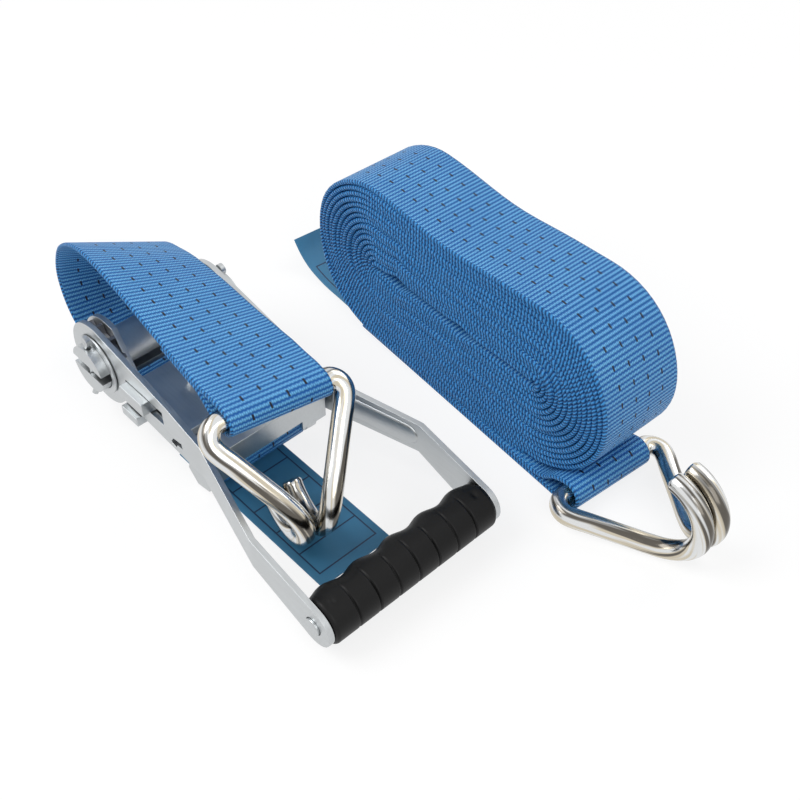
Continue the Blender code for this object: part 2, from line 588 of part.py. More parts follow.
def long_strap():
    """The rolled long strap, its sewn tail under the roll with the hook, and the sewn label."""
    path = roll_path()
    high = TAIL_Z + LAYER
    rest = high + WEB_T / 2 + 0.0004
    path[:, 1] += rest + WEB_T / 2 - path[:, 1].min()
    least_gap(path)
    turned(strip("long_strap_roll", path, WEB_W, WEB_T, "web"), ROLL_XY[0], ROLL_XY[1], ROLL_YAW)
    loop = [(LOOP_R * math.cos(a), TAIL_BAR_Z + LOOP_R * math.sin(a))
            for a in (math.radians(d) for d in (-90, -60, -30, 0, 30, 60, 90, 112))]
    tail = [(-0.165, TAIL_Z), (-0.120, TAIL_Z), (-0.070, TAIL_Z), (-0.030, TAIL_Z), (-0.012, TAIL_Z)] + loop
    tail += [(-0.0100, TAIL_BAR_Z + 0.0035), (-0.0170, TAIL_BAR_Z - 0.0022), (-0.0240, high), (-0.0300, high)]
    tail += [(-0.060, high), (-0.110, high)]
    strap = strip("long_strap_tail", smooth_path(tail, 0.005), WEB_W, WEB_T, "web")
    turned(strap, TAIL_XY[0], TAIL_XY[1], TAIL_YAW)
    tag = [(-0.165 - GAP, TAIL_Z), (-0.190, TAIL_Z), (-0.2120, TAIL_Z + 0.0008), (-0.2240, TAIL_Z + 0.0040),
           (-0.2310, TAIL_Z + 0.0085), (-0.2370, TAIL_Z + 0.0150)]
    label = strip("label_long", smooth_path(tag, 0.005), LABEL_W, LABEL_T, "label")
    turned(label, TAIL_XY[0], TAIL_XY[1], TAIL_YAW)
    lie = math.degrees(math.atan2(TAIL_BAR_Z - ROD_R - 0.0004, 0.050))
    hook("hook_long", (TAIL_XY[0], TAIL_XY[1], TAIL_BAR_Z), lie, TAIL_YAW, 1.0)


def least_gap(path):
    """Print the roll's length and the least gap between its turns, measured on its points."""
    seg = np.linalg.norm(np.diff(path, axis=0), axis=1)
    along = np.concatenate([[0.0], np.cumsum(seg)])
    least = 1.0
    for i in range(len(path)):
        far = np.abs(along - along[i]) > 0.012
        here = path[far[:]]
        if len(here) == 0:
            continue
        a, b = path[:-1], path[1:]
        keep = far[:-1] & far[1:]
        d = b - a
        t = np.clip(((path[i] - a) * d).sum(1) / np.maximum((d * d).sum(1), 1e-12), 0.0, 1.0)
        dist = np.linalg.norm(a + d * t[:, None] - path[i], axis=1)
        least = min(least, dist[keep].min())
    print("roll length %.3f m, least gap %.2f mm" % (along[-1], (least - WEB_T) * 1000))


def settle():
    """Set the bottom centre of the whole set on the origin, and hang each body on an empty at its joint."""
    things = [t for t in bpy.data.objects if t.type == "MESH"]
    low = np.full(3, 1e9)
    high = np.full(3, -1e9)
    for thing in things:
        co = np.empty(len(thing.data.vertices) * 3)
        thing.data.vertices.foreach_get("co", co)
        co = co.reshape(-1, 3)
        low = np.minimum(low, co.min(0))
        high = np.maximum(high, co.max(0))
    shift = Vector((-0.5 * (low[0] + high[0]), -0.5 * (low[1] + high[1]), -low[2]))
    axle = Vector((0.0, 0.0, AXIS_Z))
    pivots = {
        "frame_pivot": (axle, ("frame_", "strap_bolt", "bolt_", "lock_", "short_strap_anchor",
                               "short_strap_bend", "label_short")),
        "handle_pivot": (axle, ("handle_", "grip", "spring_stop_bar", "drive_")),
        "mandrel_pivot": (axle, ("mandrel_", "ratchet_wheel_", "cotter_pin_")),
        "short_strap_pivot": (axle, ("short_strap_upper",)),
        "hook_short_pivot": (Vector((HOOK_BAR_X, HOOK_SIDE, HOOK_BAR_Z)), ("hook_short",)),
        "long_strap_pivot": (Vector((ROLL_XY[0], ROLL_XY[1], 0.0)), ("long_strap_", "label_long")),
        "hook_long_pivot": (Vector((TAIL_XY[0], TAIL_XY[1], TAIL_BAR_Z)), ("hook_long",)),
    }
    for name, (point, starts) in pivots.items():
        pivot = bpy.data.objects.new(name, None)
        bpy.context.scene.collection.objects.link(pivot)
        pivot.location = point + shift
        for thing in things:
            if thing.name.startswith(starts):
                thing.data.transform(Matrix.Translation(-point))
                thing.parent = pivot
    print("shift %.6f %.6f %.6f size %s" % (shift[0], shift[1], shift[2], np.round(high - low, 4)))


def build():
    clear_scene()
    frame_pieces()
    mandrel_pieces()
    handle_pieces()
    short_strap()
    hook("hook_short", (HOOK_BAR_X, HOOK_SIDE, HOOK_BAR_Z), HOOK_PITCH, HOOK_YAW, -1.0)
    long_strap()
    settle()


build()
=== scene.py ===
"""Looks of a ratchet tie down: zinc plated ratchet, black grip, blue webbing, two hooks and two sewn labels.

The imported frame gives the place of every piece. Lengths are metres, +X runs from the mandrel to the grip,
+Y from the left arm to the right arm and on to the roll, and +Z is up.
"""

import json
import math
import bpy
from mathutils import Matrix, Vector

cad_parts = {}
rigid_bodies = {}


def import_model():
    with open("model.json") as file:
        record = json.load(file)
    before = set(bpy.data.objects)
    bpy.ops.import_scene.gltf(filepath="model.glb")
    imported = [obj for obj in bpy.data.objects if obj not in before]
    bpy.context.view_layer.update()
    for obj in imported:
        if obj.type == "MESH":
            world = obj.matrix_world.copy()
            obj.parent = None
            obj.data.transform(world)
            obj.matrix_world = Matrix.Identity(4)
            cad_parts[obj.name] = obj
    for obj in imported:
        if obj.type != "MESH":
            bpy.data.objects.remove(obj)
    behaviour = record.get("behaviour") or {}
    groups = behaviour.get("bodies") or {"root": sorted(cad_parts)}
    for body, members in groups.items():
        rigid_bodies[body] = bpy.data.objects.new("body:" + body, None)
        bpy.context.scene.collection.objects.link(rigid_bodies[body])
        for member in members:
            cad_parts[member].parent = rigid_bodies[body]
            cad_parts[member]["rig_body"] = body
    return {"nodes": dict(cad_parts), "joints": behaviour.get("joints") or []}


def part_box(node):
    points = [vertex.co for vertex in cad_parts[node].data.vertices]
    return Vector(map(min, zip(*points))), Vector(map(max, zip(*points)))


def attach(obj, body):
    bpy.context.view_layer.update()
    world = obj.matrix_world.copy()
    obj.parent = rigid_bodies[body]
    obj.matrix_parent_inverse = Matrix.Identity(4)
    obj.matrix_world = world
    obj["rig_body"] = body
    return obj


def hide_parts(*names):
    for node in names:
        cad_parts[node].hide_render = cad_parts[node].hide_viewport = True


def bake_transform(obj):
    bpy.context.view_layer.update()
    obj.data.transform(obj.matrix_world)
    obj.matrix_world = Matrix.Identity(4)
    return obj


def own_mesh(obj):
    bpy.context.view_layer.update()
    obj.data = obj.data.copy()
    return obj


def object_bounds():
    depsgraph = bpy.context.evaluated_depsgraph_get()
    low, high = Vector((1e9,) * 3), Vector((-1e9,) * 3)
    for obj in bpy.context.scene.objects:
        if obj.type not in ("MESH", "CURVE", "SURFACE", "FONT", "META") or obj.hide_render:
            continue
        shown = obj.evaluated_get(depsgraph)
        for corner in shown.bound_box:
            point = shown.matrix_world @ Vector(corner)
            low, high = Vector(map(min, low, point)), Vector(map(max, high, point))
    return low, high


bl_info = {
    "name": "Ratchet tie down",
    "version": (1, 0, 0),
    "blender": (4, 5, 0),
    "location": "View3D > Sidebar > Tie down",
    "description": "Dresses the packed ratchet tie down with webbing, plated steel and moulded plastic",
    "category": "Object",
}

import bmesh
import bpy
from bpy.props import FloatProperty, FloatVectorProperty, PointerProperty
from mathutils import Vector
import numpy as np

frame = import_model()
CAD_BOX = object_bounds()
JOINTS = {joint["name"]: joint for joint in frame["joints"]}

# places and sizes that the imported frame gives
AXLE = np.array(JOINTS["handle_swing"]["pos_m"])
SHORT_BAR = np.array(JOINTS["hook_short_swing"]["pos_m"])
LONG_BAR = np.array(JOINTS["hook_long_swing"]["pos_m"])
SHORT_AXIS = np.array(JOINTS["hook_short_swing"]["axis"])
LONG_AXIS = np.array(JOINTS["hook_long_swing"]["axis"])
SHORT_YAW = math.atan2(SHORT_AXIS[0], -SHORT_AXIS[1])
TAIL_YAW = math.atan2(LONG_AXIS[0], -LONG_AXIS[1])
AXIS_Z = 0.035  # mandrel axis above the design floor
GROUND = AXLE - np.array((0.0, 0.0, AXIS_Z))  # the design floor under the mandrel

# sizes that the solids share
WEB_W = 0.050  # webbing width
WEB_T = 0.0022  # webbing thickness
LABEL_T = 0.0007  # label thickness
PLATE_T = 0.003  # pressed steel plate
ROD_R = 0.005  # hook rod radius
LOOP_R = ROD_R + 0.0010 + WEB_T / 2  # webbing loop round a hook bar, at mid thickness
BOLT_LOOP_R = 0.0073 + WEB_T / 2  # webbing loop round the sleeve of the strap bolt
LAYER = WEB_T + 0.0004  # from one layer of webbing to the next
RUN_Z = LABEL_T + 0.0005 + WEB_T / 2  # lower run of the short strap
TAIL_Z = 0.0002 + WEB_T / 2  # lower layer of the long strap's tail

# the short strap
BEND_SIDE = -0.0015  # sideways place of its big bend
STRAP_TILT = -0.40  # twist of the big bend, its right edge low
LIFT_FROM, LIFT_SPAN = 0.010, 0.060  # heights over which drift and twist set in
DRIFT_FROM, TILT_END, TILT_SPAN = -0.030, 0.090, 0.100  # X where the drift starts and the twist ends
BOLT_SEWN, BAR_SEWN = 0.038, 0.030  # stitched lengths at the bolt and at the hook
SHORT_BOXES = (0.35, 0.9, 1.3, 1.7, 2.1, 2.45)  # lines across its label, in label widths

# the hooks
HOOK_PITCH = math.radians(47.0)  # dip of the short strap's hook
HOOK_CURL = 0.0200  # rod centre radius of the J
HOOK_TIP = math.radians(187.0)  # how far the J curls round
HOOK_EASE = math.radians(75.0)  # first part of the J, where the legs draw together
HOOK_BEND = 0.0072  # rod centre radius where a leg leaves the bar
HOOK_SLANT = math.radians(30.0)  # slant of each leg towards the other
HOOK_HALF = WEB_W / 2 + 0.0010  # half length of the bar's straight part, wider than the webbing
HOOK_LEG = ROD_R + 0.0003  # each leg from the middle, where they lie side by side
LIE_REACH, LIE_GAP = 0.050, 0.0004  # the long hook's lie: bar to J, and J to floor

# the long strap
ROLL_TURNS = 16
ROLL_PITCH = 0.0030  # from turn to turn
ROLL_FLAT = 0.0564  # half length of the roll's level part
ROLL_YAW = math.radians(-2.0)
ROLL_PLACE = (0.115, 0.122)  # from the mandrel, on the design floor
ROLL_CORE = 0.62  # radius at the roll's core, in pitches
ROLL_DIP, DIP_SPAN, DIP_HEIGHT = 0.0034, 0.030, 0.042  # the dip: depth, half width, height where it is full
ROLL_SLACK, SLACK_SPAN, SLACK_TURNS = 0.0030, 0.006, 11.0  # slack: height, half width, turns till it is gone
SLACK_PLACES = ((-0.040, 1.0), (0.006, 0.8))  # X and share of each slack place
EDGE_WANDER = ((0.0005, 0.037, 0.0), (0.0004, 0.0113, 1.0))  # waves of the turns' edges: size, span, start
TAIL_PLACE = (0.207, 0.114)  # the hook's bar, from the mandrel
TAIL_SEWN = 0.085  # stitched length of the tail
LONG_BOXES = (0.3, 0.8, 1.3)  # lines across its label, in label widths

# the handle
ARM_BEAD = ((0.100, 0.0298), (0.136, 0.0286))  # ends of the bead pressed into each arm, X and Z
BEAD_GIRTH = (0.0064, 0.0064, 0.0059, 0.0050)  # distance of each outline of the bead from its line
BEAD_RISE = (-0.0008, 0.0, 0.0005, 0.0007)  # height of each outline over the arm's face
FLARE = (0.086, 0.143)  # where the arms start and stop spreading
SPRING_WIRE = 0.0005  # radius of the spring wire
LOCK_COILS, DRIVE_COILS = 5, 7  # turns of the two springs
GRIP_HOLLOWS, HOLLOW_DEPTH = 5, 0.0022  # finger hollows
GRIP_GROOVES, GROOVE_SHARE = 7, 0.0050  # thin grooves, half width as a share of the grip's length
GROOVE_ENDS, PIP_SHARE = (0.14, 0.86), 0.06  # places along the grip, as shares of its length
GRIP_ROUND = 0.0022  # rounding of the grip's ends
PIP_R, PIP_DEPTH = 0.0014, 0.0007  # moulding pips
PIP_TURN = math.radians(80.0)  # their place round the grip

# the weave
DASH_LINES, DASH_HALF = (0.0048, 0.0145), 0.0005  # dark lines from the strap's middle
DASH_APART = 0.0097  # from line to line
STITCH_PITCH, LOOP_PITCH = 0.0035, 0.0021  # sewn zigzag, and loops on the woven edge

# points of the made pieces: steps along their lines in metres, and counts
STRAP_STEP, LABEL_STEP, HOOK_STEP = 0.0016, 0.0015, 0.0011
ROLL_STEPS, COIL_STEPS, LABEL_ROWS = 84, 28, 90
HOOK_SIDES, WIRE_SIDES, BEAD_SIDES = 28, 10, 56
GRIP_ROWS, GRIP_SIDES = 481, 72

# edges: those sharper than this stay sharp, and on CAD pieces are rounded
SHARP_MADE, SHARP_CAD = math.radians(50.0), math.radians(35.0)
FLAT_ANGLE = math.radians(1.0)  # faces closer than this are joined

# the stage: lamps by name, place, size and power
LAMPS = (("key", (-0.55, -0.75, 1.15), 0.9, 11.0), ("fill", (1.0, -0.35, 0.8), 0.8, 4.0),
         ("rim", (0.2, 1.1, 0.9), 0.8, 4.0))
LAMP_AIM = (0.0, 0.0, 0.03)
WORLD_LEVEL = 0.42
FLOOR_REACH, FLOOR_DROP = 6.0, 0.0002
FLOOR_MATT, FLOOR_SHADOW, FLOOR_GLOW = 0.80, 0.22, 0.80

# the photograph's camera, worked out from the arms and the straps
CAMERA_FROM_AXLE = np.array((0.4252, -0.2243, 0.4178))
CAMERA_AZIMUTH = math.radians(47.18)
CAMERA_DIP = math.radians(45.34)
CAMERA_LENS, CAMERA_SENSOR = 54.0, 36.0


class TieDownSizes(bpy.types.PropertyGroup):
    """Sizes of the webbing, the grip and the edges of the pressed steel."""

    web_width: FloatProperty(
        name="Webbing width", description="Edge to edge width of the strap", default=WEB_W, unit="LENGTH")
    web_thick: FloatProperty(
        name="Webbing thickness", description="Thickness of the strap", default=0.0021, unit="LENGTH")
    roll_thick: FloatProperty(
        name="Rolled thickness", description="Thickness of one turn in the roll",
        default=0.0026, unit="LENGTH")
    rib_pitch: FloatProperty(
        name="Rib pitch", description="Distance between the cross ribs of the weave",
        default=0.0023, unit="LENGTH")
    yarn_pitch: FloatProperty(
        name="Yarn pitch", description="Distance between the yarns along the strap",
        default=0.0010, unit="LENGTH")
    dash_pitch: FloatProperty(
        name="Dash pitch", description="Distance between the dark marker dashes",
        default=0.0092, unit="LENGTH")
    plate_edge: FloatProperty(
        name="Plate edge", description="Rounding of pressed steel edges", default=0.00045, unit="LENGTH")
    grip_groove: FloatProperty(
        name="Grip groove", description="Depth of the thin grooves round the grip",
        default=0.0009, unit="LENGTH")
    label_width: FloatProperty(
        name="Label width", description="Width of the sewn labels", default=0.043, unit="LENGTH")


class TieDownColours(bpy.types.PropertyGroup):
    """Colours of the finishes."""

    # painted highlight: the yarn's colour where it is lit on top of a rib, lighter than the yarn itself
    web_rib: FloatVectorProperty(
        name="Webbing rib", description="Yarn on top of a rib",
        default=(0.185, 0.56, 0.93), subtype="COLOR")
    # painted shade: the yarn's colour in the shade between the ribs, and darkened further between the edge
    # loops
    web_groove: FloatVectorProperty(
        name="Webbing groove", description="Yarn between the ribs",
        default=(0.002, 0.095, 0.38), subtype="COLOR")
    web_fray: FloatVectorProperty(
        name="Webbing edge", description="Pale filaments on the woven edge",
        default=(0.06, 0.35, 0.80), subtype="COLOR")
    dash: FloatVectorProperty(
        name="Marker dash", description="Dark marker yarn", default=(0.006, 0.008, 0.016), subtype="COLOR")
    label: FloatVectorProperty(
        name="Label", description="Coated label cloth", default=(0.042, 0.20, 0.36), subtype="COLOR")
    label_rule: FloatVectorProperty(
        name="Label rule", description="Empty ruled boxes on the label",
        default=(0.006, 0.03, 0.08), subtype="COLOR")
    zinc: FloatVectorProperty(
        name="Zinc plate", description="Satin plated sheet steel",
        default=(0.52, 0.54, 0.55), subtype="COLOR")
    rod: FloatVectorProperty(
        name="Plated rod", description="Bright plated hook rod",
        default=(0.72, 0.73, 0.73), subtype="COLOR")
    rod_tan: FloatVectorProperty(
        name="Rod tan", description="Warm streaks of the passivated plating",
        default=(0.60, 0.54, 0.43), subtype="COLOR")
    # painted reflection: a dark streak along the rod that stands in for dark surroundings mirrored in it
    rod_dark: FloatVectorProperty(
        name="Rod dark", description="Dark streaks along the drawn rod",
        default=(0.12, 0.11, 0.095), subtype="COLOR")
    dark_steel: FloatVectorProperty(
        name="Dark steel", description="Hardened ratchet wheels",
        default=(0.16, 0.16, 0.17), subtype="COLOR")
    plastic: FloatVectorProperty(
        name="Grip plastic", description="Moulded grip", default=(0.0030, 0.0030, 0.0031), subtype="COLOR")


def unit(rows):
    """Each row divided by its own length."""
    return rows / np.linalg.norm(rows, axis=-1, keepdims=True)


def smooth_line(points, step):
    """A curve through points: cubic Hermite pieces over the chord length, with slopes from the neighbours."""
    points = np.asarray(points, float)
    chord = np.linalg.norm(np.diff(points, axis=0), axis=1)
    at = np.concatenate([[0.0], np.cumsum(chord)])
    slope = np.gradient(points, at, axis=0)
    along = np.linspace(0.0, at[-1], int(at[-1] / step) + 2)
    k = np.clip(np.searchsorted(at, along, side="right") - 1, 0, len(chord) - 1)
    span = chord[k][:, None]
    t = (along - at[k])[:, None] / span
    start = (2 * t ** 3 - 3 * t ** 2 + 1) * points[k] + (t ** 3 - 2 * t ** 2 + t) * span * slope[k]
    end = (3 * t ** 2 - 2 * t ** 3) * points[k + 1] + (t ** 3 - t ** 2) * span * slope[k + 1]
    return start + end


def run_length(line):
    """Distance along a line from its first point to each of its points."""
    return np.concatenate([[0.0], np.cumsum(np.linalg.norm(np.diff(line, axis=0), axis=1))])


def ring_tube(name, rings, finish, uv=None, marks=None):
    """Rings of points, one after another, joined by quads and closed by a face at each end."""
    rows, around = rings.shape[:2]
    row, column = np.meshgrid(np.arange(rows - 1), np.arange(around), indexing="ij")
    nearby = (column + 1) % around
    quads = np.stack([row * around + column, row * around + nearby,
                      (row + 1) * around + nearby, (row + 1) * around + column], axis=-1).reshape(-1, 4)
    ends = [list(range(around)), list(range((rows - 1) * around, rows * around))]
    return solid(name, rings.reshape(-1, 3), quads.tolist() + ends, finish, uv, marks)


def solid(name, points, faces, finish, uv=None, marks=None):
    """One closed mesh from points and faces, turned outwards, with a UV and named marks for each point."""
    mesh = bpy.data.meshes.new(name)
    mesh.from_pydata(points.tolist(), [], faces)
    shape = bmesh.new()
    shape.from_mesh(mesh)
    bmesh.ops.recalc_face_normals(shape, faces=shape.faces)
    shape.to_mesh(mesh)
    shape.free()
    if uv is not None:
        corner = np.empty(len(mesh.loops), dtype=np.int32)
        mesh.loops.foreach_get("vertex_index", corner)
        layer = mesh.uv_layers.new(name="cloth")
        layer.data.foreach_set("uv", uv.reshape(-1, 2)[corner].astype(np.float32).ravel())
    for mark, values in (marks or {}).items():
        layer = mesh.attributes.new(mark, "FLOAT", "POINT")
        layer.data.foreach_set("value", np.ascontiguousarray(values, dtype=np.float32).ravel())
    mesh.polygons.foreach_set("use_smooth", np.ones(len(mesh.polygons), dtype=bool))
    mesh.set_sharp_from_angle(angle=SHARP_MADE)
    mesh.materials.append(finish)
    piece = bpy.data.objects.new(name, mesh)
    bpy.context.scene.collection.objects.link(piece)
    return piece


def rod(name, line, reference, radius, finish, sides):
    """A round wire: a circle carried along a line, square to it, with a small chamfer at both cut ends."""
    along = unit(np.gradient(line, axis=0))
    side = unit(reference - along * np.sum(reference * along, axis=1, keepdims=True))
    other = np.cross(along, side)
    at = run_length(line)
    chamfer, tip = 0.2, 0.86
    to_end = np.clip(np.minimum(at, at[-1] - at) / (chamfer * radius), 0.0, 1.0)
    girth = radius * (tip + (1.0 - tip) * to_end)
    turn = np.linspace(0.0, 2 * math.pi, sides, endpoint=False)
    circle = (np.cos(turn)[None, :, None] * side[:, None, :]
              + np.sin(turn)[None, :, None] * other[:, None, :])
    even = np.ones((len(line), sides))
    marks = {"round_side": even * np.cos(turn), "round_top": even * np.sin(turn),
             "run": even * at[:, None] / radius}
    return ring_tube(name, line[:, None, :] + girth[:, None, None] * circle, finish, marks=marks)


def band_profile(width, thick):
    """A flat band cut across: level top and underside, half-round edges; with the share of width at each
    point."""
    edge, count = thick / 2, 15
    even = np.linspace(0.0, 1.0, count)
    flat = np.linspace(-1.0, 1.0, count) * (width / 2 - edge)
    turn = np.linspace(0.5, -0.5, 7)[1:-1] * math.pi
    bulge, drop = edge * np.cos(turn), edge * np.sin(turn)
    across = np.concatenate([flat, width / 2 - edge + bulge, flat[::-1], -width / 2 + edge - bulge])
    height = np.concatenate([np.full(count, edge), drop, np.full(count, -edge), -drop])
    over = bulge / width + edge / width
    share = np.concatenate([even, 1.0 + over, even[::-1], -over])
    return across, height, share


def band(name, line, sideways, width, thick, finish, sewn=0.0):
    """Webbing or label cloth: the band profile carried along a line, its width along the sideways vectors.
    The level mark goes from -1 on the underside to 1 on top, and the sewn mark is 1 where layers are
    stitched together."""
    along = unit(np.gradient(line, axis=0))
    out = unit(np.cross(along, sideways))
    across, height, share = band_profile(width, thick)
    rings = (line[:, None, :] + across[None, :, None] * sideways[:, None, :]
             + height[None, :, None] * out[:, None, :])
    at = run_length(line) / width
    uv = np.stack(np.broadcast_arrays(share[None, :], at[:, None]), axis=-1)
    even = np.ones(rings.shape[:2])
    marks = {"level": even * height / (thick / 2),
             "sewn": even * np.broadcast_to(sewn, len(line))[:, None]}
    return ring_tube(name, rings, finish, uv, marks)


def upright_line(flat, y=0.0):
    """A line drawn in X and Z as points in space, at one Y."""
    return np.stack([flat[:, 0], np.broadcast_to(y, len(flat)), flat[:, 1]], axis=1)


def laid(points, place, yaw):
    """Points turned about Z by yaw and set down at a place on the design floor."""
    turn = np.array(((math.cos(yaw), -math.sin(yaw), 0.0), (math.sin(yaw), math.cos(yaw), 0.0),
                     (0.0, 0.0, 1.0)))
    return points @ turn.T + np.array((place[0], place[1], 0.0)) + GROUND


def level_across(line, yaw):
    """The vector across a level band that is turned about Z by yaw, once for each point of its line."""
    return np.broadcast_to((-math.sin(yaw), math.cos(yaw), 0.0), line.shape)


def arc_points(x, z, radius, degrees):
    """Points in X and Z on a circle round a centre, at the given turns."""
    turn = np.radians(np.array(degrees))
    return np.stack([x + radius * np.cos(turn), z + radius * np.sin(turn)], axis=1)


def stand_in(piece, node, body):
    """Put a piece in the place of a CAD node, on its body."""
    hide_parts(node)
    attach(piece, body)


def softened(node, finish, edge):
    """A CAD node's mesh with its points merged and flat faces joined, its edges rounded by a bevel."""
    source = frame["nodes"][node]
    mesh = source.data.copy()
    mesh.materials.clear()
    shape = bmesh.new()
    shape.from_mesh(mesh)
    bmesh.ops.remove_doubles(shape, verts=shape.verts, dist=1e-6)
    bmesh.ops.dissolve_limit(shape, angle_limit=FLAT_ANGLE, verts=shape.verts, edges=shape.edges)
    shape.to_mesh(mesh)
    shape.free()
    mesh.polygons.foreach_set("use_smooth", np.ones(len(mesh.polygons), dtype=bool))
    mesh.set_sharp_from_angle(angle=SHARP_CAD)
    mesh.materials.append(finish)
    piece = bpy.data.objects.new(node + "_finished", mesh)
    bpy.context.scene.collection.objects.link(piece)
    if edge > 0.0:
        rounding = piece.modifiers.new("rounded edges", "BEVEL")
        rounding.width = edge
        rounding.segments = 2
        rounding.limit_method = "ANGLE"
        rounding.angle_limit = SHARP_CAD
        rounding.harden_normals = True
    stand_in(piece, node, source["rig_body"])


class Finish:
    """One node material under construction: short ways to add and link its nodes."""

    def __init__(self, name):
        self.skin = bpy.data.materials.new(name)
        self.skin.use_nodes = True
        self.tree = self.skin.node_tree
        self.shader = self.tree.nodes["Principled BSDF"]

    def add(self, kind):
        """A new shader node of a kind."""
        return self.tree.nodes.new("ShaderNode" + kind)

    def put(self, socket, value):
        """Set a socket from another socket or from a plain value."""
        if isinstance(value, bpy.types.NodeSocket):
            self.tree.links.new(value, socket)
        else:
            socket.default_value = value

    def math(self, operation, first, second=0.0, third=0.0):
        """The result of one Math node."""
        node = self.add("Math")
        node.operation = operation
        for socket, value in zip(node.inputs, (first, second, third)):
            self.put(socket, value)
        return node.outputs[0]

    def mix(self, share, first, second):
        """One colour eased into another by a share."""
        node = self.add("Mix")
        node.data_type = "RGBA"
        self.put(node.inputs["Factor"], share)
        for socket, value in ((node.inputs[6], first), (node.inputs[7], second)):
            self.put(socket, value if isinstance(value, bpy.types.NodeSocket) else (*value, 1.0))
        return node.outputs[2]

    def mix_plain(self, share, first, second):
        """One value eased into another by a share."""
        node = self.add("Mix")
        self.put(node.inputs["Factor"], share)
        self.put(node.inputs[2], first)
        self.put(node.inputs[3], second)
        return node.outputs[0]

    def cloud(self, place, scale, detail):
        """A noise texture read at a place."""
        node = self.add("TexNoise")
        node.inputs["Scale"].default_value = scale
        node.inputs["Detail"].default_value = detail
        self.tree.links.new(place, node.inputs["Vector"])
        return node.outputs["Fac"]

    def noise(self, scale, stretch=(1.0, 1.0, 1.0)):
        """Noise on the piece's Object coordinates, stretched by a Mapping node."""
        where = self.add("TexCoord")
        mapping = self.add("Mapping")
        mapping.inputs["Scale"].default_value = stretch
        self.tree.links.new(where.outputs["Object"], mapping.inputs["Vector"])
        return self.cloud(mapping.outputs["Vector"], scale, 3.0)

    def mark(self, name):
        """One of the piece's own named marks."""
        node = self.add("Attribute")
        node.attribute_name = name
        return node.outputs["Fac"]

    def noise_at(self, parts, scale, detail=2.0):
        """Noise on three values taken as a place."""
        place = self.add("CombineXYZ")
        for socket, value in zip(place.inputs, parts):
            self.put(socket, value)
        return self.cloud(place.outputs[0], scale, detail)

    def ramp(self, value, low, high):
        """Zero below low, one above high, and even in between."""
        node = self.add("MapRange")
        node.inputs["From Min"].default_value = low
        node.inputs["From Max"].default_value = high
        self.put(node.inputs["Value"], value)
        return node.outputs["Result"]

    def cloth_place(self):
        """The cloth's own UV: share of the width, and length in widths."""
        layer = self.add("UVMap")
        layer.uv_map = "cloth"
        parts = self.add("SeparateXYZ")
        self.tree.links.new(layer.outputs["UV"], parts.inputs[0])
        return parts.outputs["X"], parts.outputs["Y"]

    def span(self, value, low, high):
        """A zero to one value spread over low to high."""
        return self.math("MULTIPLY_ADD", value, high - low, low)

    def wave(self, kind, value):
        """The sine or cosine of a value counted in turns, spread over zero to one."""
        swing = self.math(kind, self.math("MULTIPLY", value, 2 * math.pi))
        return self.math("MULTIPLY_ADD", swing, 0.5, 0.5)

    def bump(self, height, distance, strength):
        """Relief from a height, on the shader's normal."""
        node = self.add("Bump")
        node.inputs["Distance"].default_value = distance
        node.inputs["Strength"].default_value = strength
        self.tree.links.new(height, node.inputs["Height"])
        self.tree.links.new(node.outputs["Normal"], self.shader.inputs["Normal"])

    def set(self, **sockets):
        """Set the shader's sockets by name."""
        for name, value in sockets.items():
            self.put(self.shader.inputs[name.replace("_", " ")], value)


def tinted(colour, factor):
    """A colour with each part multiplied by a factor."""
    return tuple(min(1.0, part * factor) for part in colour)


def plated_sheet(colours):
    """Zinc plated sheet: a satin metal with rolling streaks along X and a faint spangle."""
    made = Finish("plated_sheet")
    streak = made.noise(4.0, (14.0, 220.0, 220.0))
    cloud = made.noise(60.0)
    shade = made.math("ADD", made.math("MULTIPLY", streak, 0.5), made.math("MULTIPLY", cloud, 0.5))
    made.set(Base_Color=made.mix(shade, tinted(colours.zinc, 0.80), tinted(colours.zinc, 1.18)),
             Metallic=1.0, Roughness=made.span(shade, 0.22, 0.44))
    made.bump(streak, 0.00005, 0.8)
    return made.skin


def plated_rod(colours):
    """Bright plated rod: mirror-smooth drawn wire with pale and tan streaks that run along it, and dark
    streaks along it that are a painted reflection of dark surroundings.
    """
    made = Finish("plated_rod")
    run = made.math("MULTIPLY", made.mark("run"), 0.05)
    place = (made.mark("round_side"), made.mark("round_top"), run)
    streak = made.noise_at(place, 1.25)
    warm = made.noise_at(place, 2.1, 1.0)
    scuff = made.noise(500.0)
    bright = made.mix(made.ramp(warm, 0.47, 0.58), colours.rod, colours.rod_tan)
    # the dark streak mixed in here is a painted reflection of dark surroundings
    made.set(Base_Color=made.mix(made.ramp(streak, 0.53, 0.60), bright, colours.rod_dark), Metallic=1.0,
             Roughness=made.span(scuff, 0.12, 0.26))
    return made.skin


def dark_steel(colours):
    """Hardened steel: dark, a little oily, with a fine pressed grain."""
    made = Finish("dark_steel")
    grain = made.noise(320.0)
    made.set(Base_Color=made.mix(grain, tinted(colours.dark_steel, 0.6), tinted(colours.dark_steel, 1.5)),
             Metallic=1.0, Roughness=made.span(grain, 0.3, 0.55))
    made.bump(grain, 0.00006, 0.3)
    return made.skin


def moulded_plastic(colours):
    """Moulded grip plastic: near black, soft sheen, with a fine spark-eroded grain."""
    made = Finish("moulded_plastic")
    grain = made.noise(900.0)
    cloud = made.noise(30.0)
    made.set(Base_Color=made.mix(cloud, tinted(colours.plastic, 0.75), tinted(colours.plastic, 1.5)),
             Roughness=made.span(cloud, 0.36, 0.52), Specular_IOR_Level=0.2)
    made.bump(grain, 0.00005, 0.3)
    return made.skin


